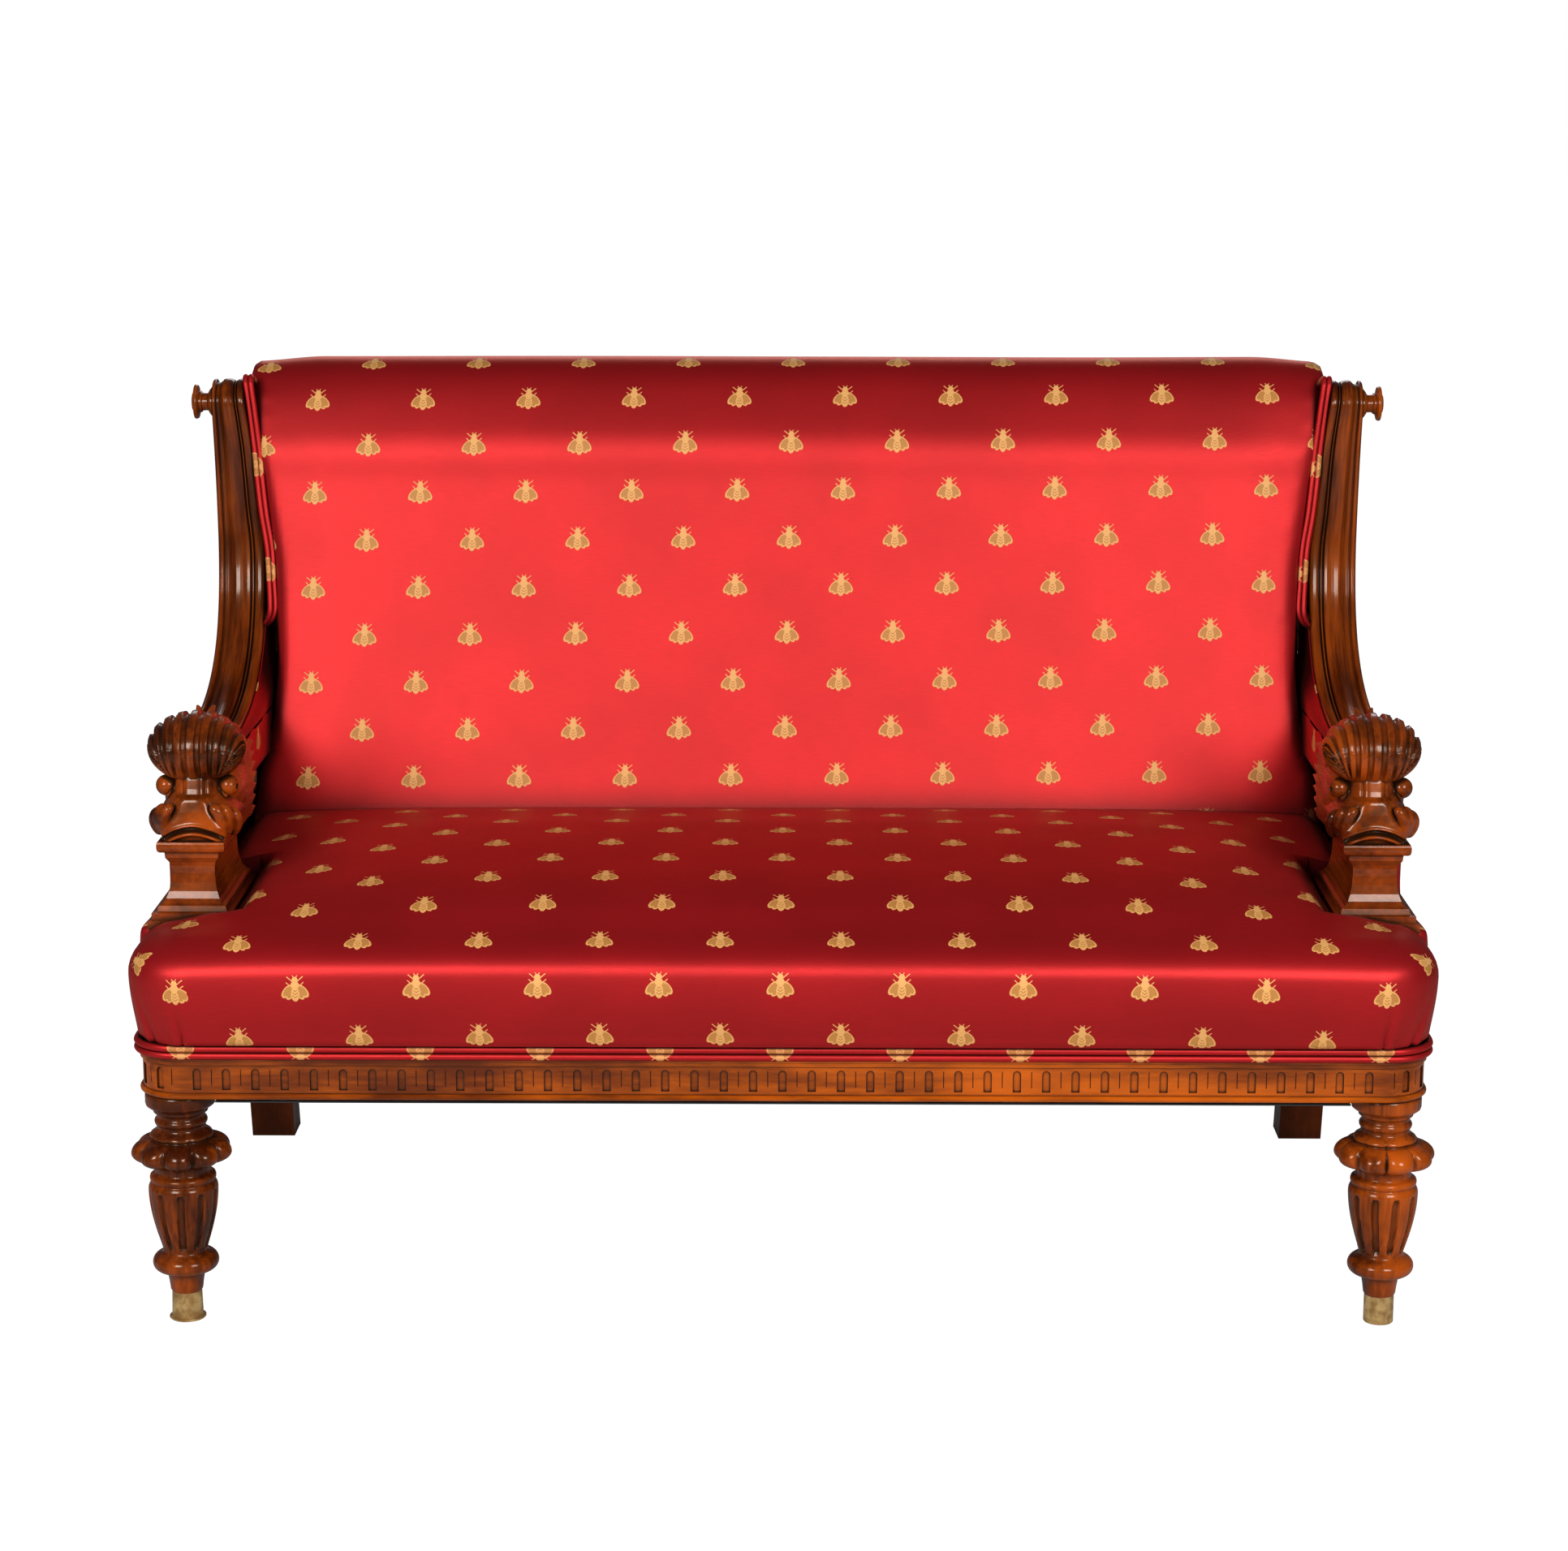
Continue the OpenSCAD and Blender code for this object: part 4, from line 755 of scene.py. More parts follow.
def pleats(angle, depth_share):
    """Folds in the rounded corner: how far the cloth is pushed in, by angle from the front."""
    grow = ramp(depth_share, 0.42, 0.95)
    fold = 0.0
    for middle, wide, deep in ((12, 2.2, 0.0045), (52, 3.0, 0.0035)):
        fold += deep * math.exp(-((angle - middle) / wide) ** 2)
        fold -= 0.5 * deep * math.exp(-((angle - middle - 7) / 5.0) ** 2)
    return fold * grow


def place_seat(p, q):
    """A point of the flat sheet, put on the seat."""
    (cx, cy), (ox, oy), d = past_crest(p, q)
    top = seat_top(cx, cy)
    if d <= 0:
        z = top
        if q > ear_back:
            half = mid_half if q < side_back else rear_half
            gap = half - abs(p)
            z -= TUCK_DEEP * math.exp(-(gap / TUCK_WIDE) ** 2)
        return Vector((p, q, z))
    height = top - low_z
    front = max(0.0, -oy)
    draw_in = FRONT_DRAW_IN * front + SIDE_DRAW_IN * (1 - front)
    out, down = fall_shape(d, height, draw_in, front)
    angle = math.degrees(math.atan2(abs(ox), -oy)) if oy < 0 else 90.0
    out -= pleats(angle, down / height)
    return Vector((cx + ox * out, cy + oy * out, top - down))


# %% Bend the seat's cloth
PLEAT_ANGLE = 36.0
BEE_SEAT_SHIFT = (BEE_STEP / 2 + 0.002, -0.024)
BEE_BOW = 0.007
BOW_HALF = 0.7


def seat_cloth(co, middle):
    """UV in metres of cloth; the rows of bees bow forward a little in the middle of the seat."""
    u, v = seat_sheet(co, middle)
    bow = BEE_BOW * max(0.0, 1 - (u / BOW_HALF) ** 2)
    return u + BEE_SEAT_SHIFT[0], v + BEE_SEAT_SHIFT[1] - bow


def seat_sheet(co, middle):
    """The point of the flat sheet that a face's corner belongs to; past the pleat it is the side's."""
    (cx, cy), (ox, oy), d = past_crest(co.x, co.y)
    _, (nx, ny), md = past_crest(middle.x, middle.y)
    if md > 0 and nx != 0 and ny < 0:
        side = 1 if middle.x > 0 else -1
        middle_angle = math.degrees(math.atan2(abs(nx), -ny))
        if oy < 0 or ox != 0:
            angle = math.atan2(abs(ox), -oy)
        else:
            angle = 0.0 if middle_angle < 45 else math.pi / 2
        real = CORNER_CREST + min(d, SEAT_EDGE)
        if middle_angle < PLEAT_ANGLE:
            return side * (crest_x - CORNER_CREST + real * angle), crest_y - d
        return side * (crest_x + d), crest_y + CORNER_CREST - real * (math.pi / 2 - angle)
    return co.x, co.y


bm = flat_grid((-crest_x - cloth_fall, crest_y - cloth_fall), (crest_x + cloth_fall, seat_high.y), CELL)
for side in (-1, 1):
    cut_line(bm, (side * mid_half, 0, 0), (1, 0, 0))
    cut_line(bm, (side * rear_half, 0, 0), (1, 0, 0))
cut_line(bm, (0, ear_back, 0), (0, 1, 0))
cut_line(bm, (0, side_back, 0), (0, 1, 0))
drop_faces(bm, lambda c: (abs(c.x) > mid_half and ear_back < c.y < side_back)
           or (abs(c.x) > rear_half and c.y > side_back))
write_cloth(bm, seat_cloth)


def sheet_length(p, q):
    """Cloth from the crest to the edge that is tacked under the seat."""
    (cx, cy), (ox, oy), d = past_crest(p, q)
    shoulder, drop = shoulder_of(max(0.0, -oy))
    return shoulder + seat_top(cx, cy) - low_z - drop - SEAT_ROLL + SEAT_ROLL * math.pi / 2


drop_faces(bm, lambda c: past_crest(c.x, c.y)[2] > sheet_length(c.x, c.y) + CELL)
for v in bm.verts:
    v.co = place_seat(v.co.x, v.co.y)
bmesh.ops.dissolve_degenerate(bm, dist=1e-5, edges=bm.edges)
back_wall(bm, lambda co: Vector((co.x, co.y, low_z - 0.0005)))
seat_cover = new_piece("seat_cover", bm, satin, ["seat_pad"])

# %% [markdown]
# ## Back
# The back is a thick stuffed pad that leans, and rolls over the top rail like a scroll. Its side
# view is one line: up the front, round the roll and down to the tuck behind. The sheet of cloth
# follows that line, and past each side edge it turns the corner and runs back as the boxing.

# %% A route: a smooth line that is read by its length
class Route:
    """Points joined by a smooth line; at(s) gives the point, tangent() the direction."""

    def __init__(self, points, fine=24):
        points = [Vector(p) for p in points]
        self.points = []
        for i in range(len(points) - 1):
            a = points[max(i - 1, 0)]
            b, c = points[i], points[i + 1]
            d = points[min(i + 2, len(points) - 1)]
            for k in range(fine):
                t = k / fine
                self.points.append(0.5 * (2 * b + (c - a) * t + (2 * a - 5 * b + 4 * c - d) * t**2
                                          + (3 * b - a - 3 * c + d) * t**3))
        self.points.append(points[-1])
        self.marks = [0.0]
        for a, b in zip(self.points, self.points[1:]):
            self.marks.append(self.marks[-1] + (b - a).length)
        self.length = self.marks[-1]

    def at(self, s):
        s = min(max(s, 0.0), self.length)
        low, high = 0, len(self.marks) - 1
        while high - low > 1:
            middle = (low + high) // 2
            if self.marks[middle] <= s:
                low = middle
            else:
                high = middle
        t = (s - self.marks[low]) / max(self.marks[high] - self.marks[low], 1e-9)
        return self.points[low].lerp(self.points[high], t)

    def tangent(self, s, reach=0.003):
        return (self.at(s + reach) - self.at(s - reach)).normalized()


# %% The line of the back, in its side view
_, back_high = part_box("back_pad")
BACK_ROLL = 0.046
ROLL_Y = 0.334
roll_z = back_high.z - BACK_ROLL
roll_core = Vector((0, 0.345, back_high.z - 0.053))
ROLL_LINE = [(0.2795, -0.113), (0.2925, -0.078), (0.3075, -0.047), (0.3240, -0.025), (0.3430, -0.0125),
             (0.3600, -0.0080), (0.3740, -0.0078), (0.3860, -0.0120), (0.3925, -0.0220), (0.3935, -0.038),
             (0.3900, -0.057), (0.3840, -0.076)]


def back_front(z):
    """Front face of the stuffed back."""
    return 0.176 + 0.214 * (z - 0.42) + 0.009 * math.sin(math.pi * (z - 0.42) / 0.56)


back_points = [(0, back_front(z), z) for z in (0.44, 0.5, 0.56, 0.62, 0.68, 0.74, 0.8, 0.85)]
back_line = Route(back_points + [(0, y, back_high.z + z) for y, z in ROLL_LINE])
BACK_HALF = [(0.44, 0.652), (0.50, 0.645), (0.55, 0.632), (0.62, 0.622), (0.70, 0.623), (0.76, 0.626),
             (0.80, 0.632), (0.86, 0.642), (0.90, 0.649), (0.95, 0.657), (1.01, 0.659)]
BACK_EDGE = 0.018
BOXING = 0.075
print("back line", round(back_line.length, 3), "m")


def place_back(p, q):
    """A point of the flat sheet, put on the back."""
    point = back_line.at(q)
    along = back_line.tangent(q)
    inward = Vector((0, along.z, -along.y))
    on_roll = ramp(point.z, 0.90, 0.96)
    half = read_table(point.z, BACK_HALF)
    side = 1 if p > 0 else -1
    bend = BACK_EDGE * (1 - 0.35 * on_roll)
    far = abs(p) - (half - bend)
    crown = 0.004 * math.cos(min(abs(p) / half, 1.0) * math.pi / 2) * (1 - on_roll)
    wave = 0.0012 * noise.noise(Vector((p * 3, q * 4, 1.7)))
    if far <= 0:
        edge = 0.006 * ramp(abs(p), half - 0.09, half)
        edge += 0.0012 * on_roll * ramp(abs(p), half - 0.035, half) * math.sin(q * 210)
        return point + Vector((p, 0, 0)) + inward * (edge - crown + wave)
    turn = min(far / bend, math.pi / 2)
    past = min(max(far - bend * math.pi / 2, 0.0), BOXING)
    x = Vector((side * (half - bend + bend * math.sin(turn)), 0, 0))
    corner = point + inward * (0.006 + bend * (1 - math.cos(turn)))
    if past <= 0:
        return corner + x
    end_cap = corner.lerp(Vector((0, roll_core.y, min(roll_core.z, point.z))), 0.9 * past / BOXING)
    return (corner + inward * past).lerp(end_cap, on_roll) + x


# %% Bend the cloth of the back
BACK_CLOTH_HALF = 0.74
BEE_BACK_SHIFT = (-0.002, -0.0384)
BEE_TIGHT = 1.0242
BEE_LEAN = 0.020
BEE_RISE = 0.009
LEAN_FROM = 0.30
bm = flat_grid((-BACK_CLOTH_HALF, 0.0), (BACK_CLOTH_HALF, back_line.length), CELL)
write_cloth(bm, lambda co, middle: (co.x + BEE_BACK_SHIFT[0] - BEE_LEAN * (co.y - LEAN_FROM),
                                    co.y * BEE_TIGHT + BEE_BACK_SHIFT[1] - BEE_RISE * co.x))
side_edges = [e for e in open_edges(bm) if abs(e.verts[0].co.x - e.verts[1].co.x) < 1e-6]
for v in bm.verts:
    v.co = place_back(v.co.x, v.co.y)
bmesh.ops.bridge_loops(bm, edges=side_edges)
close_up(bm)
back_cover = new_piece("back_cover", bm, satin, ["back_pad"])

# %% [markdown]
# ## Small pads and the outside cloth
# Under each arm there is a stuffed panel inside and another outside. These start as copies of the
# CAD solids. A voxel remesh makes even faces, and a short cloth simulation with a little pressure
# swells them. A cap keeps each point near its start, so the pad stays in its place.

# %% Swell a copy of a CAD pad
PAD_VOXEL = 0.005
PAD_FRAMES = 16
PAD_PRESSURE = 4.0


def swollen_pad(name, node, cap):
    """A padded copy of a CAD solid: remeshed, blown up softly, and capped."""
    bm = bmesh.new()
    bm.from_mesh(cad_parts[node].data)
    bmesh.ops.remove_doubles(bm, verts=bm.verts, dist=MERGE)
    bmesh.ops.recalc_face_normals(bm, faces=bm.faces)
    piece = new_piece(name, bm, satin, [node])
    context = bpy.context
    context.view_layer.objects.active = piece
    mesh = fused(piece, PAD_VOXEL)
    piece.data = mesh
    start = [v.co.copy() for v in mesh.vertices]
    cloth = piece.modifiers.new("swell", "CLOTH")
    cloth.settings.use_pressure = True
    cloth.settings.uniform_pressure_force = PAD_PRESSURE
    cloth.settings.effector_weights.gravity = 0.0
    cloth.settings.quality = 5
    cloth.point_cache.frame_end = PAD_FRAMES
    for number in range(1, PAD_FRAMES + 1):
        context.scene.frame_set(number)
    puffed = piece.evaluated_get(context.evaluated_depsgraph_get()).to_mesh()
    ends = [v.co.copy() for v in puffed.vertices]
    piece.modifiers.clear()
    context.scene.frame_set(1)
    for vert, begin, end in zip(mesh.vertices, start, ends):
        move = end - begin
        if move.length > cap:
            move = move.normalized() * cap
        vert.co = begin + move
    bm = bmesh.new()
    bm.from_mesh(mesh)
    soften(bm, 3)
    bm.loops.layers.uv.new("cloth")
    write_cloth(bm, lambda co, middle: co.yz)
    bm.to_mesh(mesh)
    bm.free()
    mesh.materials.clear()
    mesh.materials.append(satin)
    mesh.shade_smooth()
    return piece


for side, _ in SIDES:
    swollen_pad("side_cover_" + side, "side_pad_" + side, 0.006)
    swollen_pad("inside_arm_cover_" + side, "inside_arm_" + side, 0.004)

# %% Cloth over the outside of the back
from mathutils.bvhtree import BVHTree

OUTSIDE_THICK = 0.003
out_low, out_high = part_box("outside_back")
out_tree = BVHTree.FromObject(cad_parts["outside_back"], bpy.context.evaluated_depsgraph_get())


def place_outside(x, z):
    """The outside of the CAD panel, with a slight crown between its tacked edges."""
    inset = 0.0005
    near_x = min(max(x, out_low.x + inset), out_high.x - inset)
    near_z = min(max(z, out_low.z + inset), out_high.z - inset)
    hit = out_tree.ray_cast(Vector((near_x, 1.0, near_z)), Vector((0, -1, 0)))[0]
    edge = min(x - out_low.x, out_high.x - x, z - out_low.z, out_high.z - z)
    crown = 0.0035 * ramp(edge, 0.0, 0.10) - 0.0016 * (1 - ramp(edge, 0.0, 0.012))
    pucker = 0.0009 * math.sin(x * 210) * (1 - ramp(out_high.z - z, 0.0, 0.07))
    return Vector((x, hit.y + crown + pucker, z))


bm = flat_grid((out_low.x, out_low.z), (out_high.x, out_high.z), CELL)
write_cloth(bm, lambda co, middle: (co.x, co.y))
for v in bm.verts:
    v.co = place_outside(v.co.x, v.co.y)
back_wall(bm, lambda co: co - Vector((0, OUTSIDE_THICK, 0)))
new_piece("outside_back_cloth", bm, satin, ["outside_back"])

# %% [markdown]
# ## Double piping
# Two cords, covered in one strip of the satin, hide the tacks wherever cloth meets wood. A tube is
# a sheet bent round a route: one side of the sheet goes round the cord, the other along it.


# %% A cord bent from a sheet
CORD_SIDES = 16
CORD_CELL = 0.004


def cord_sheet(bm, route, radius, bee_at, front=0.75):
    """Adds a closed cord to a bmesh. Its strip is cut along a row of bees: bee_at gives how far along
    the route one bee lies, and how far the cord's front is from the middle of that row. The front is
    the share of a turn at which the cord faces the viewer."""
    part = bmesh.new()
    part.loops.layers.uv.new("cloth")
    steps = round(route.length / CORD_CELL)
    bmesh.ops.create_grid(part, x_segments=CORD_SIDES, y_segments=steps, size=0.5)
    write_cloth(part, lambda co, middle: (
        (co.y + 0.5) * route.length - bee_at[0] + BEE_STEP * 20.5,
        BEE_ROW / 2 + bee_at[1] - (co.x + 0.5 - front) * 2 * math.pi * radius))
    up = Vector((1, 0, 0))
    places = {}
    for row in range(steps + 1):
        s = row / steps * route.length
        along = route.tangent(s)
        if abs(along.dot(up)) > 0.95:
            up = Vector((0, 0, 1))
        side = along.cross(up).normalized()
        up = side.cross(along).normalized()
        places[row] = (route.at(s), side.copy(), up.copy())
    for v in part.verts:
        row = round((v.co.y + 0.5) * steps)
        middle, side, lift = places[row]
        a = 2 * math.pi * (v.co.x + 0.5)
        v.co = middle + radius * (math.cos(a) * side + math.sin(a) * lift)
    close_up(part, MERGE)
    pour(part, bm)


# %% Piping round the seat
welt_low, welt_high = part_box("seat_welt")
WELT_R = 0.004
WELT_CORNER = 0.048


def round_the_seat(z, out=0.0):
    """Route from one rear leg round the front to the other, at one height."""
    x, y, back = welt_high.x - WELT_R + out, welt_low.y + WELT_R - out, welt_high.y
    points = [(-x, back, z), (-x, back * 0.5, z), (-x, 0, z), (-x, y + WELT_CORNER + 0.05, z)]
    for degrees in (0, 22.5, 45, 67.5, 90):
        a = math.radians(degrees)
        points.append((-x + WELT_CORNER * (1 - math.cos(a)), y + WELT_CORNER * (1 - math.sin(a)), z))
    inner = -x + WELT_CORNER + 0.05
    points += [(inner, y, z), (inner / 2, y, z), (0, y, z)]
    return Route(points[:-1] + [(0, y, z)] + [(-px, py, pz) for px, py, pz in reversed(points[:-1])])


bm = bmesh.new()
bm.loops.layers.uv.new("cloth")
for level, off in ((welt_low.z + WELT_R - 0.004, 0.0045), (welt_high.z - WELT_R - 0.003, -0.0045)):
    route = round_the_seat(level, out=0.004)
    cord_sheet(bm, route, WELT_R * 1.02, bee_at=(route.length / 2 - 0.0025, off))
    print("seat piping", round(route.length, 3), "m")
new_piece("seat_piping", bm, piping_satin, ["seat_welt"])

# %% Piping down the sides of the back
arm_low, arm_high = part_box("arm_right")
POST_NARROWS = [(0.72, 0.0), (0.77, 0.001), (0.815, 0.006), (0.86, 0.009), (0.89, 0.011), (0.945, 0.0175),
                (0.975, 0.020)]
PIPING_R = 0.0035


def post_in(z):
    """Where the post's inner edge stands: the roll of the back covers more of it higher up."""
    return arm_low.x + read_table(z, POST_NARROWS)


for side, sign in SIDES:
    bm = bmesh.new()
    bm.loops.layers.uv.new("cloth")
    for cord in (0, 1):
        inset = PIPING_R + 0.0062 * cord
        points = [(sign * (post_in(0.67) + 0.002), back_front(0.67) + 0.045, 0.672)]
        for z in (0.69, 0.73, 0.77, 0.81, 0.85, 0.89):
            lean = ramp(z, 0.69, 0.90)
            x = post_in(z) - inset - 0.006 * (1 - lean)
            points.append((sign * x, back_front(z) + 0.023 - 0.012 * lean, z))
        for degrees in (168, 158, 149):
            a = math.radians(degrees)
            reach = BACK_ROLL - 0.004 - 0.012 * ramp(180 - degrees, 20, 70)
            z = roll_z + (reach - 0.003) * math.sin(a)
            points.append((sign * (post_in(z) - inset), ROLL_Y + reach * math.cos(a), z))
        x, y, z = points[-1]
        points.append((x - sign * 0.002, y + 0.026, z - 0.010))
        cord_sheet(bm, Route(points), PIPING_R, front=0.5, bee_at=(0.212, -0.004 + 0.008 * cord))
    new_piece("back_piping_" + side, bm, piping_satin, ["back_welt_" + side])

# %% [markdown]
# ## Moulded arms
# Each arm starts behind the carved head, sweeps back level, then rises as the post of the back and
# curls over in a scroll. One moulding runs along its whole face. The moulding is the cross-section
# of a sweep: a bead, a hollow, a broad round in the middle, two quirks and an inner band.

# %% The line of the arm
head_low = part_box("dolphin_head_right")[0]
boss_low, boss_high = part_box("scroll_boss_right")
ARM_T = 0.042
SCROLL_R = 0.030
SCROLL = Vector((0, 0.310, (boss_low.z + boss_high.z) / 2))
arm_begin = arm_low.y
arm_z = plinth_high.z + 0.042
POST_Z = 0.770


def cubic(a, b, c, d, t):
    """A Bezier curve between a and d."""
    return (1 - t) ** 3 * a + 3 * t * (1 - t) ** 2 * b + 3 * t**2 * (1 - t) * c + t**3 * d


sweep_corners = [Vector((0, y, z)) for y, z in (
    (arm_begin, arm_z), (arm_begin + 0.225, arm_z - 0.008), (SCROLL.y + 0.002, arm_z + 0.012),
    (SCROLL.y + 0.010, POST_Z))]
sweep_points = [cubic(*sweep_corners, i / 14) for i in range(15)]
for i in range(1, 6):
    t = i / 5
    sweep_points.append(Vector((0, SCROLL.y + 0.010 - (0.010 + SCROLL_R - ARM_T / 2) * t * t,
                                POST_Z + (SCROLL.z - POST_Z) * t)))
arm_line = Route(sweep_points)
OUTER_BEAD = [(0.0, 4.2), (0.015, 2.2), (0.035, 0.9), (0.065, 0.3), (0.10, 0.9), (0.122, 2.4), (0.132, 5.8)]
HOLLOW = [(0.15, 6.4), (0.165, 5.6), (0.20, 6.2), (0.25, 5.4), (0.29, 3.6), (0.325, 2.6)]
MIDDLE_ROUND = [(0.335, 1.4), (0.38, 0.5), (0.46, 0.0), (0.54, 0.2), (0.62, 1.0), (0.685, 2.6)]
QUIRKS = [(0.70, 6.6), (0.715, 6.6), (0.728, 3.2), (0.745, 2.6), (0.762, 3.2), (0.775, 6.2), (0.79, 6.2)]
INNER_BAND = [(0.80, 2.6), (0.82, 1.2), (0.86, 0.6), (0.93, 0.6), (0.975, 1.3), (1.0, 3.8)]
MOULDING = OUTER_BEAD + HOLLOW + MIDDLE_ROUND + QUIRKS + INNER_BAND
FACE_SHARE = 0.70


def straight(x, rows):
    """A straight-line reading of (input, output) rows."""
    for (x0, y0), (x1, y1) in zip(rows, rows[1:]):
        if x <= x1:
            return y0 + (y1 - y0) * (x - x0) / (x1 - x0)
    return rows[-1][1]


def arm_section(u):
    """Across the member: share of its width from the outer side, share of its depth, bead depth."""
    if u < FACE_SHARE:
        s = u / FACE_SHARE
        return s, 0.0, straight(s, MOULDING) * MM
    t = (u - FACE_SHARE) / (1 - FACE_SHARE)
    if t < 0.36:
        return 1.0, 0.08 + 0.84 * t / 0.36, 0.0
    if t < 0.64:
        s = (t - 0.36) / 0.28
        return 0.98 - 0.96 * s, 1.0, 0.0
    return 0.0, 0.92 - 0.84 * (t - 0.64) / 0.36, 0.0


# %% Sweep the arms
ARM_AROUND = 150
ARM_ALONG = 120
SCROLL_STEPS = 56
SCROLL_TURN = math.radians(215)


def place_arm(u, step):
    """One point of the sweep: along the line first, then round the scroll."""
    share, deep, bead = arm_section(u)
    if step <= ARM_ALONG:
        s = arm_line.length * step / ARM_ALONG
        along = arm_line.tangent(s)
        out = Vector((0, -along.z, along.y))
        crest = arm_line.at(s) + out * ARM_T / 2
        heel = crest - out * ARM_T
    else:
        t = (step - ARM_ALONG) / SCROLL_STEPS
        a = math.pi - SCROLL_TURN * t
        grow = 1 - 0.12 * t
        ray = Vector((0, math.cos(a), math.sin(a)))
        crest = SCROLL + ray * SCROLL_R * grow
        heel = SCROLL + ray * 0.004 + Vector((0, 0.006 * (1 - t), 0))
        bead *= 1 - 0.35 * t
    inward = (heel - crest).normalized()
    point = crest + inward * (bead + deep * (heel - crest).length)
    x = arm_high.x - share * (arm_high.x - post_in(max(crest.z, 0.7)))
    return Vector((x, point.y, point.z))


for side, sign in SIDES:
    bm = bmesh.new()
    bm.loops.layers.uv.new("UVMap")
    rows = ARM_ALONG + SCROLL_STEPS
    bmesh.ops.create_grid(bm, x_segments=ARM_AROUND, y_segments=rows, size=0.5)
    board = 0.4 if sign > 0 else 0.0
    write_cloth(bm, lambda co, middle: ((co.x + 0.5) * 0.16 + board, (co.y + 0.5) * 0.95), "UVMap")
    for v in bm.verts:
        v.co = place_arm(v.co.x + 0.5, round((v.co.y + 0.5) * rows))
        v.co.x *= sign
    close_up(bm, MERGE)
    new_piece("moulded_arm_" + side, bm, swept_walnut, ["arm_" + side])

# %% Satin on the inner side of the arms
LINING_FROM, LINING_TO = 0.02, 0.62
STILE_IN = 0.629
LINING_FOOT = 0.53
STILE_FRONT = 0.305
LINING_GRID = (0.12, 0.6)
LINING_THICK = 0.0018


def place_lining(co):
    """The grid runs from the member's front edge back to the stile, and along the member."""
    u, v = co.x / LINING_GRID[0], co.y / LINING_GRID[1]
    s = arm_line.length * (LINING_FROM + (LINING_TO - LINING_FROM) * max(0.0, v / 0.9 - 1 / 9))
    along = arm_line.tangent(s)
    edge = arm_line.at(s) + Vector((0, -along.z, along.y)) * ARM_T * 0.36
    rear = STILE_FRONT + 0.25 * max(0.0, edge.z - 0.72)
    y = edge.y + (rear - edge.y) * u
    swell = ramp(y, edge.y, edge.y + 0.09)
    inner = post_in(max(edge.z, 0.7)) - 0.0022
    low = LINING_FOOT + (edge.z - LINING_FOOT) * min(1.0, v / 0.1)
    return Vector((inner + (STILE_IN - inner) * swell, y, low))


for side, sign in SIDES:
    bm = flat_grid((0, 0), LINING_GRID, CELL)
    write_cloth(bm, lambda co, middle: place_lining(co).yz)
    for v in bm.verts:
        v.co = place_lining(v.co)
        v.co.x *= sign
    back_wall(bm, lambda co: co + Vector((sign * LINING_THICK, 0, 0)))
    new_piece("arm_lining_" + side, bm, satin)

# %% [markdown]
# ## Turned front legs
# A turner cuts a leg on a lathe, then a carver adds the lobes of the knop and the flutes of the
# vase. The script does the same: a profile is spun round the leg's axis, and then the points of
# the knop and the vase are moved in and out by their angle.

# %% The turner's profile
leg_low, leg_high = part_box("front_leg_right")
leg_axis = Vector(((leg_low.x + leg_high.x) / 2, (leg_low.y + leg_high.y) / 2, 0))
leg_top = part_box("corner_block_right")[0].z * 1000
KNOP_Z = 192.0
KNOP_HALF = 20.0
KNOP_CORE = 0.0315
LOBES = 9
LOBE_CUT = 0.235
FLUTES = 10
FLUTE_FROM, FLUTE_TO = 84.0, 150.0
FLUTE_WIDE, FLUTE_CUT = 0.0043, 0.0050


def bead(r, z, wide, tall, degrees):
    """Points of a turned bead in millimetres: its middle, its half sizes and its angles."""
    return [(r + wide * math.cos(math.radians(a)), z + tall * math.sin(math.radians(a))) for a in degrees]


def turner_profile():
    """Radius and height in millimetres, from the socket up."""
    foot = [(14.0, 28.0), (16.7, 32.4), (17.6, 34.0), (18.6, 42.0), (20.4, 53.0), (22.0, 54.6), (26.2, 55.6)]
    ankle = bead(26.5, 66.0, 9.5, 9.8, range(-75, 61, 9))
    ankle += [(26.6, 75.6), (25.4, 77.2), (24.2, 78.4), (23.8, 80.0)]
    vase = [(23.9 + 13.9 * math.sin(math.pi / 2 * i / 30), 80.4 + 70.6 * i / 30) for i in range(1, 31)]
    disc = [(37.4, 153.6), (36.4, 156.0), (35.0, 158.0), (34.2, 158.9), (35.0, 159.8), (35.8, 161.4),
            (36.0, 163.6), (35.4, 165.8), (33.4, 167.0), (30.6, 167.8), (29.6, 170.0), (30.4, 177.0)]
    knop = bead(34.0, KNOP_Z, 21.0, 11.5, range(-88, 0, 8)) + bead(34.0, KNOP_Z, 21.0, 15.5, range(0, 89, 8))
    neck = [(33.0, 208.4), (34.4, 209.4), (34.6, 211.4), (33.0, 213.8), (29.4, 216.4), (27.0, 218.6),
            (26.2, 221.6), (27.4, 223.6), (28.4, 225.4), (28.8, 227.6), (28.2, 229.6), (26.8, 231.2),
            (26.0, 233.0), (26.4, 235.0), (27.8, 236.8), (29.4, 237.8), (29.8, 239.2), (29.2, 240.8)]
    flare = [(31.5, 242.6), (35.0, 244.4), (37.2, 246.2), (38.0, 249.0), (38.0, leg_top - 5.0)]
    return foot + ankle + vase + disc + knop + neck + flare + [(37.6, leg_top - 0.3), (10.0, leg_top - 0.2)]


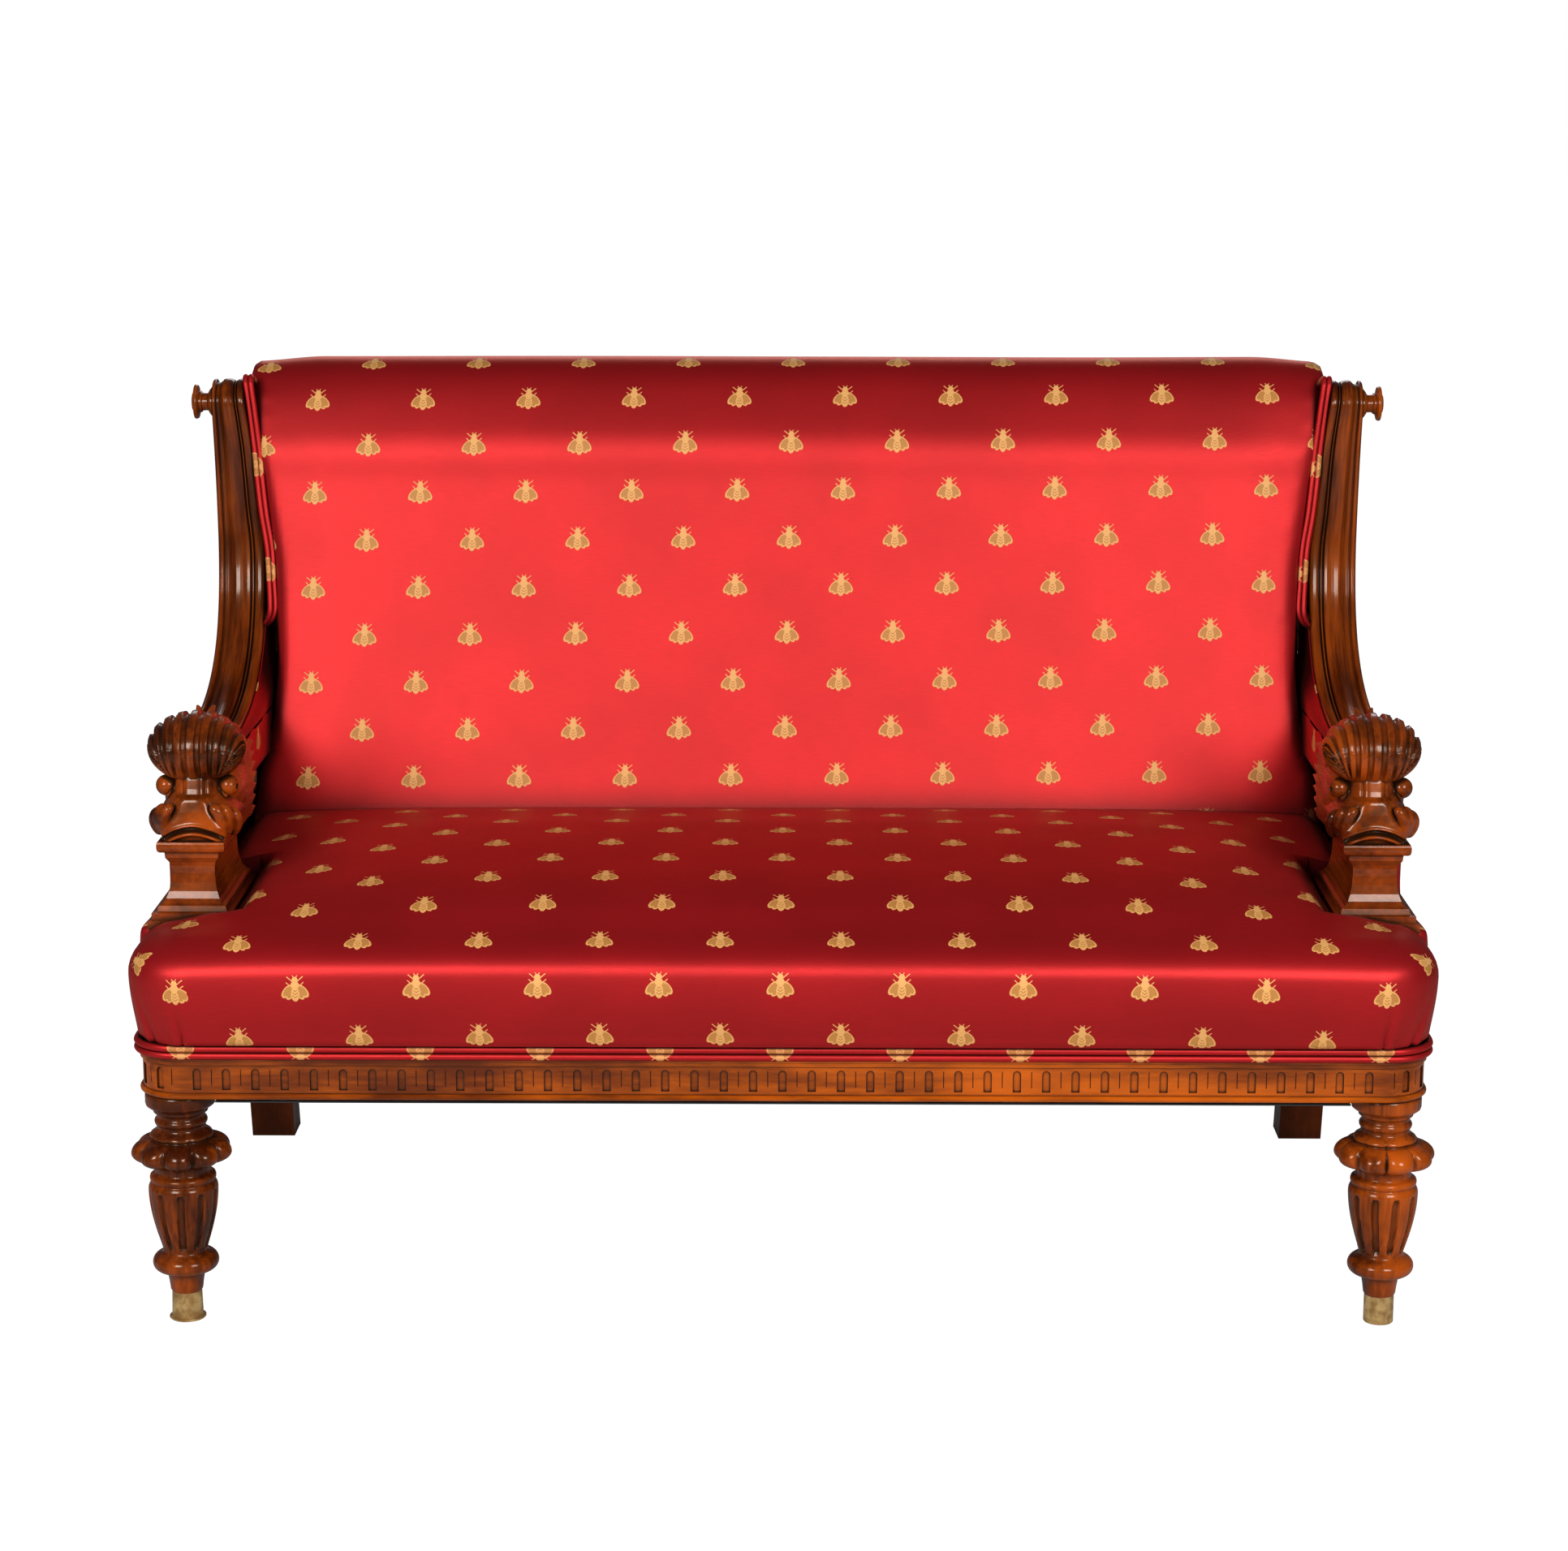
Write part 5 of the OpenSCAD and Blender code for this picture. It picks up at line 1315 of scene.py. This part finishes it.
def carve(co, turn):
    """Moves a point of the spun leg in by the lobes or the flutes."""
    r = math.hypot(co.x, co.y)
    if r < MM:
        return
    z = co.z * 1000
    angle = math.atan2(co.y, co.x) - turn
    share = 0.0
    knop = max(0.0, 1 - ((z - KNOP_Z) / KNOP_HALF) ** 2)
    if knop > 0 and r > KNOP_CORE:
        wave = abs(math.cos(angle * LOBES / 2))
        share = LOBE_CUT * knop**0.7 * (1 - wave**0.42) * ramp(r, KNOP_CORE, 0.036)
    elif FLUTE_FROM < z < FLUTE_TO:
        step = 2 * math.pi / FLUTES
        off = (angle / step + 0.5) % 1.0 - 0.5
        end = min(z - FLUTE_FROM, FLUTE_TO - z) / 5.0
        reach = FLUTE_WIDE * math.sqrt(max(0.0, 1 - max(0.0, 1 - end) ** 2))
        arc = abs(off) * step * r
        if arc < reach:
            share = FLUTE_CUT * min(1.0, 1.8 * math.sqrt(1 - (arc / reach) ** 2)) / r
    co.x *= 1 - share
    co.y *= 1 - share


# %% Spin and carve the legs
LEG_STEPS = 240
for side, sign, turn in (("left", -1, -86.0), ("right", 1, -76.0)):
    bm = bmesh.new()
    last = None
    for r, z in turner_profile():
        vert = bm.verts.new((r * MM, 0, z * MM))
        if last:
            bm.edges.new((last, vert))
        last = vert
    bmesh.ops.spin(bm, geom=bm.verts[:] + bm.edges[:], cent=(0, 0, 0), axis=(0, 0, 1), dvec=(0, 0, 0),
                   angle=2 * math.pi, steps=LEG_STEPS, use_merge=True)
    bmesh.ops.remove_doubles(bm, verts=bm.verts, dist=1e-6)
    for v in bm.verts:
        carve(v.co, math.radians(turn))
    bmesh.ops.translate(bm, vec=(sign * leg_axis.x, leg_axis.y, 0), verts=bm.verts)
    close_up(bm)
    new_piece("turned_leg_" + side, bm, turned, ["front_leg_" + side])

# %% [markdown]
# ## Carved dolphin heads
# A carver saws a block, rounds its big masses and cuts the details last. The same order works
# here. The soft lumps (lobes of the snout, lids, cheeks, mane) are simple closed shapes that a
# voxel remesh fuses. The crest, the front of the face and the eyes keep their own fine meshes, so
# that their cuts stay sharp. All sizes are in millimetres from the foot of the snout's front, so
# that they can be read off the photograph, and one function moves the head to its plinth.

# %% The crest: a bulb with flutes that fan out from the brow
CREST_MIDDLE = Vector((0, 47, 98))
CREST_RADII = Vector((54, 47, 39.5))
BROW_ANGLE = math.radians(-52)
FLUTE_DEEP = 4.0
FLUTE_HALF = 0.25


def flute_depth(co):
    """How far the surface lies under the bulb at a point: hollow flutes between flat ridges."""
    off = co - CREST_MIDDLE
    lift = math.atan2(off.z / CREST_RADII.z, -off.y / CREST_RADII.y)
    if lift < BROW_ANGLE - 0.6:
        lift += 2 * math.pi
    t = (lift - BROW_ANGLE) / (math.pi / 2 - BROW_ANGLE)
    spread = read_table(t, [(0, 30.0), (0.45, 60.0), (1, 76.0), (1.6, 84.0)])
    step = 14.2 + 2.2 * min(max(t, 0.0), 1.0)
    turn = math.atanh(max(-0.985, min(0.985, co.x / spread))) * spread / step
    gap = abs(turn - math.floor(turn) - 0.5)
    if gap > FLUTE_HALF or t < -0.1:
        return 0.0
    return FLUTE_DEEP * math.sqrt(1 - (gap / FLUTE_HALF) ** 2) * ramp(t, -0.1, 0.12)


crest = bmesh.new()
bmesh.ops.create_uvsphere(crest, u_segments=280, v_segments=130, radius=1.0)
bmesh.ops.rotate(crest, cent=(0, 0, 0), matrix=Matrix.Rotation(math.pi / 2, 3, "X"), verts=crest.verts)
for v in crest.verts:
    out = Vector([a / b for a, b in zip(v.co, CREST_RADII)]).normalized()
    co = Vector(v.co * CREST_RADII) + CREST_MIDDLE
    v.co = co - out * flute_depth(co)
bmesh.ops.recalc_face_normals(crest, faces=crest.faces)
print("crest", len(crest.faces), "faces")

# %% The front of the face: rings from the jaw to the brow, with the mouth pressed in
FACE_HALF = [(0, 32.0), (6, 34.0), (14, 34.5), (22, 30.0), (29, 24.0), (35, 20.5), (41, 19.0), (44.5, 17.0),
             (49, 12.8), (51, 12.4), (76, 12.4)]
FACE_FRONT = [(0, 5.0), (5, 3.5), (10, 1.5), (16, -1.5), (22, -1.0), (34, 0.5), (45, 2.5), (48.0, 3.6),
              (50.0, 14.0), (56, 16.0), (66, 18.0), (76, 21.0)]
FACE_ROUND = 5.0
TEMPLE_HALF = [(0, 38.0), (20, 42.0), (35, 39.0), (48, 29.0), (66, 27.0), (76, 33.0)]
FACE_TOP = 76.0
FACE_MIDDLE = 62.0
FACE_BACK = 152.0
MOUTH_RISE = 15.0


def mouth_press(x, z):
    """How far the mouth's gap is cut in, less the rolls of the lips."""
    line = MOUTH_RISE - 12.5 * (x / 33.0) ** 2
    wide = max(0.0, 1 - abs(x / 35.0) ** 5)
    gap = 8.0 * math.exp(-abs((z - line) / 2.6) ** 3)
    lower_lip = 2.8 * math.exp(-((z - line + 5.8) / 2.3) ** 2)
    upper_lip = 1.5 * math.exp(-((z - line - 4.2) / 2.0) ** 2)
    jaw = 3.0 * (1 - ramp(z, line - 10.0, line - 7.0))
    return (gap - lower_lip - upper_lip + jaw) * wide


def face_point(across, z):
    """A point of the face: across runs from -1 to 1, over the front first, then round to the back."""
    half, front, temple = read_table(z, FACE_HALF), straight(z, FACE_FRONT), read_table(z, TEMPLE_HALF)
    side, s = (-1 if across < 0 else 1), abs(across)
    if s < 0.45:
        x = side * half * s / 0.45
        return Vector((x, front + FACE_ROUND * (s / 0.45) ** 5 + mouth_press(x, z), z))
    if s < 0.8:
        a = (s - 0.45) / 0.35 * math.pi / 2
        start = front + FACE_ROUND
        return Vector((side * (half + (temple - half) * math.sin(a)),
                       start + (FACE_MIDDLE - start) * (1 - math.cos(a)), z))
    a = (s - 0.8) / 0.2
    y = FACE_MIDDLE + (FACE_BACK - FACE_MIDDLE) * math.sin(a * math.pi / 2)
    return Vector((side * temple * (1 - a**6), y, z))


face_mesh = bmesh.new()
bmesh.ops.create_grid(face_mesh, x_segments=220, y_segments=96, size=1.0)
for v in face_mesh.verts:
    v.co = face_point(v.co.x, (v.co.y + 1) / 2 * FACE_TOP)
close_up(face_mesh, 0.01)
print("face", len(face_mesh.faces), "faces")


# %% Simple closed shapes for the soft lumps
def ball(bm, centre, radii):
    """An egg with its axes along X, Y and Z."""
    made = bmesh.ops.create_uvsphere(bm, u_segments=40, v_segments=28, radius=1.0)["verts"]
    bmesh.ops.scale(bm, vec=radii, verts=made)
    bmesh.ops.translate(bm, vec=centre, verts=made)


def roll(bm, points, radii):
    """A closed roll of changing thickness along a few points."""
    route = Route(points)
    part = bmesh.new()
    bmesh.ops.create_uvsphere(part, u_segments=16, v_segments=40, radius=1.0)
    for v in part.verts:
        share = (1 + v.co.z) / 2
        ring = math.hypot(v.co.x, v.co.y)
        along = route.tangent(share * route.length, 0.5)
        side = along.cross(Vector((0, 1, 0.01))).normalized()
        lift = side.cross(along)
        thick = read_table(share * (len(radii) - 1), list(enumerate(radii)))
        thick *= min(1.0, ring * 1.6) / max(ring, 1e-6)
        v.co = route.at(share * route.length) + (side * v.co.x + lift * v.co.y) * thick
    bmesh.ops.recalc_face_normals(part, faces=part.faces)
    pour(part, bm)


LEAF_THICK, LEAF_TURN, LEAF_OUT = 8.0, 9.0, 40.0


def saw_leaf(bm, side):
    """The mane behind a cheek: a leaf with a saw edge."""
    outline = [(92, 2)]
    for i in range(7):
        short = 3.0 * abs(i - 3)
        outline += [(134 - short, 3 + i * 12.5), (151 - short, 11 + i * 12.5)]
    outline += [(120, 92), (88, 84)]
    part = bmesh.new()
    face = part.faces.new([part.verts.new((0, y, z)) for y, z in outline])
    grown = bmesh.ops.extrude_face_region(part, geom=[face])["geom"]
    inner = [v for v in grown if isinstance(v, bmesh.types.BMVert)]
    bmesh.ops.translate(part, vec=(-side * LEAF_THICK, 0, 0), verts=inner)
    bmesh.ops.recalc_face_normals(part, faces=part.faces)
    turn = Matrix.Rotation(math.radians(-side * LEAF_TURN), 3, "Z")
    bmesh.ops.rotate(part, cent=(0, 92, 0), matrix=turn, verts=part.verts)
    bmesh.ops.translate(part, vec=(side * LEAF_OUT, 0, 0), verts=part.verts)
    pour(part, bm)


# %% Lobes, lids, cheeks and mane, fused
SNOUT_LOBES = [
    ([(19, 5, 40), (25, 2, 37.5), (29.5, 3.5, 31), (31.5, 8, 21), (30, 13, 9)], [4.0, 6.6, 7.4, 7.4, 5.4]),
    ([(27, 11, 40), (34, 8, 36), (37.5, 11, 27), (37, 16, 16), (34, 20, 5)], [4.0, 6.4, 7.0, 6.2, 4.4]),
    ([(36, 27, 34), (43, 22, 29), (45.5, 25, 20), (43, 28, 10), (38, 30, 3)], [3.0, 5.5, 6.0, 5.4, 4.0]),
]
EYE = Vector((34.0, 43.0, 55.5))
EYE_R = 11.6
HEAD_VOXEL = 1.3
lumps = bmesh.new()
ball(lumps, (0, 104, 78), (44, 48, 46))
for side in (-1, 1):
    for points, radii in SNOUT_LOBES:
        roll(lumps, [(side * x, y, z) for x, y, z in points], radii)
    lid = []
    for degrees in range(150, 391, 24):
        a = math.radians(degrees)
        x = EYE.x - 3.2 + 2.6 * math.cos(a)
        lid.append((side * x, EYE.y - 6.5 + math.cos(a), EYE.z + EYE_R * math.sin(a)))
    roll(lumps, lid, [0.8, 1.8, 2.2, 1.8, 0.8])
    ball(lumps, (side * 20, 62, 50), (17, 27, 22))
    ball(lumps, (side * 29, 98, 44), (15, 50, 40))
    saw_leaf(lumps, side)
    tip = [(side * x, y, z) for x, y, z in ((5, 96, 116), (6.5, 106, 125), (9, 112, 129.5), (12, 114, 131))]
    roll(lumps, tip, [5.0, 5.0, 3.6, 1.2])
rough_mesh = bpy.data.meshes.new("lumps")
lumps.to_mesh(rough_mesh)
lumps.free()
holder = bpy.data.objects.new("lumps", rough_mesh)
bpy.context.scene.collection.objects.link(holder)
fused_mesh = fused(holder, HEAD_VOXEL)
bpy.data.objects.remove(holder)
print("lumps", len(fused_mesh.polygons), "faces")

# %% Eyes, with drilled pupils
PUPIL_R = 2.7
EYE_LOOK = Vector((0.93, -0.37, -0.05))


def eye_ball(bm, side):
    """A ball whose pole is pressed in for the pupil, turned to look out and a little forward."""
    part = bmesh.new()
    bmesh.ops.create_uvsphere(part, u_segments=64, v_segments=64, radius=EYE_R)
    for v in part.verts:
        off = math.hypot(v.co.x, v.co.y)
        if v.co.z > 0 and off < PUPIL_R * 1.3:
            v.co.z -= 5.0 * (1 - ramp(off, PUPIL_R * 0.8, PUPIL_R * 1.2))
    look = Vector((side * EYE_LOOK.x, EYE_LOOK.y, EYE_LOOK.z))
    turn = look.to_track_quat("Z", "Y").to_matrix()
    bmesh.ops.rotate(part, cent=(0, 0, 0), matrix=turn, verts=part.verts)
    bmesh.ops.translate(part, vec=(side * EYE.x, EYE.y, EYE.z), verts=part.verts)
    pour(part, bm)


# %% Put the heads on their plinths
whole_head = bmesh.new()
whole_head.from_mesh(fused_mesh)
soften(whole_head, 2)
pour(crest, whole_head)
pour(face_mesh, whole_head)
for side in (-1, 1):
    eye_ball(whole_head, side)
for v in whole_head.verts:
    v.co.z = max(v.co.z, 0.05)
head_mesh = bpy.data.meshes.new("head")
whole_head.to_mesh(head_mesh)
whole_head.free()
HEAD_IN = 0.0035
head_at = Vector(((plinth_low.x + plinth_high.x) / 2 - HEAD_IN, head_low.y + 0.001, plinth_high.z))
for side, sign in SIDES:
    bm = bmesh.new()
    bm.from_mesh(head_mesh)
    bmesh.ops.scale(bm, vec=(sign * MM, MM, MM), verts=bm.verts)
    bmesh.ops.translate(bm, vec=(sign * head_at.x, head_at.y, head_at.z), verts=bm.verts)
    if sign < 0:
        bmesh.ops.reverse_faces(bm, faces=bm.faces)
    new_piece("carved_head_" + side, bm, carved, ["dolphin_head_" + side])

# %% Finish with the plain Standard view transform
bpy.context.scene.view_settings.view_transform = "Standard"
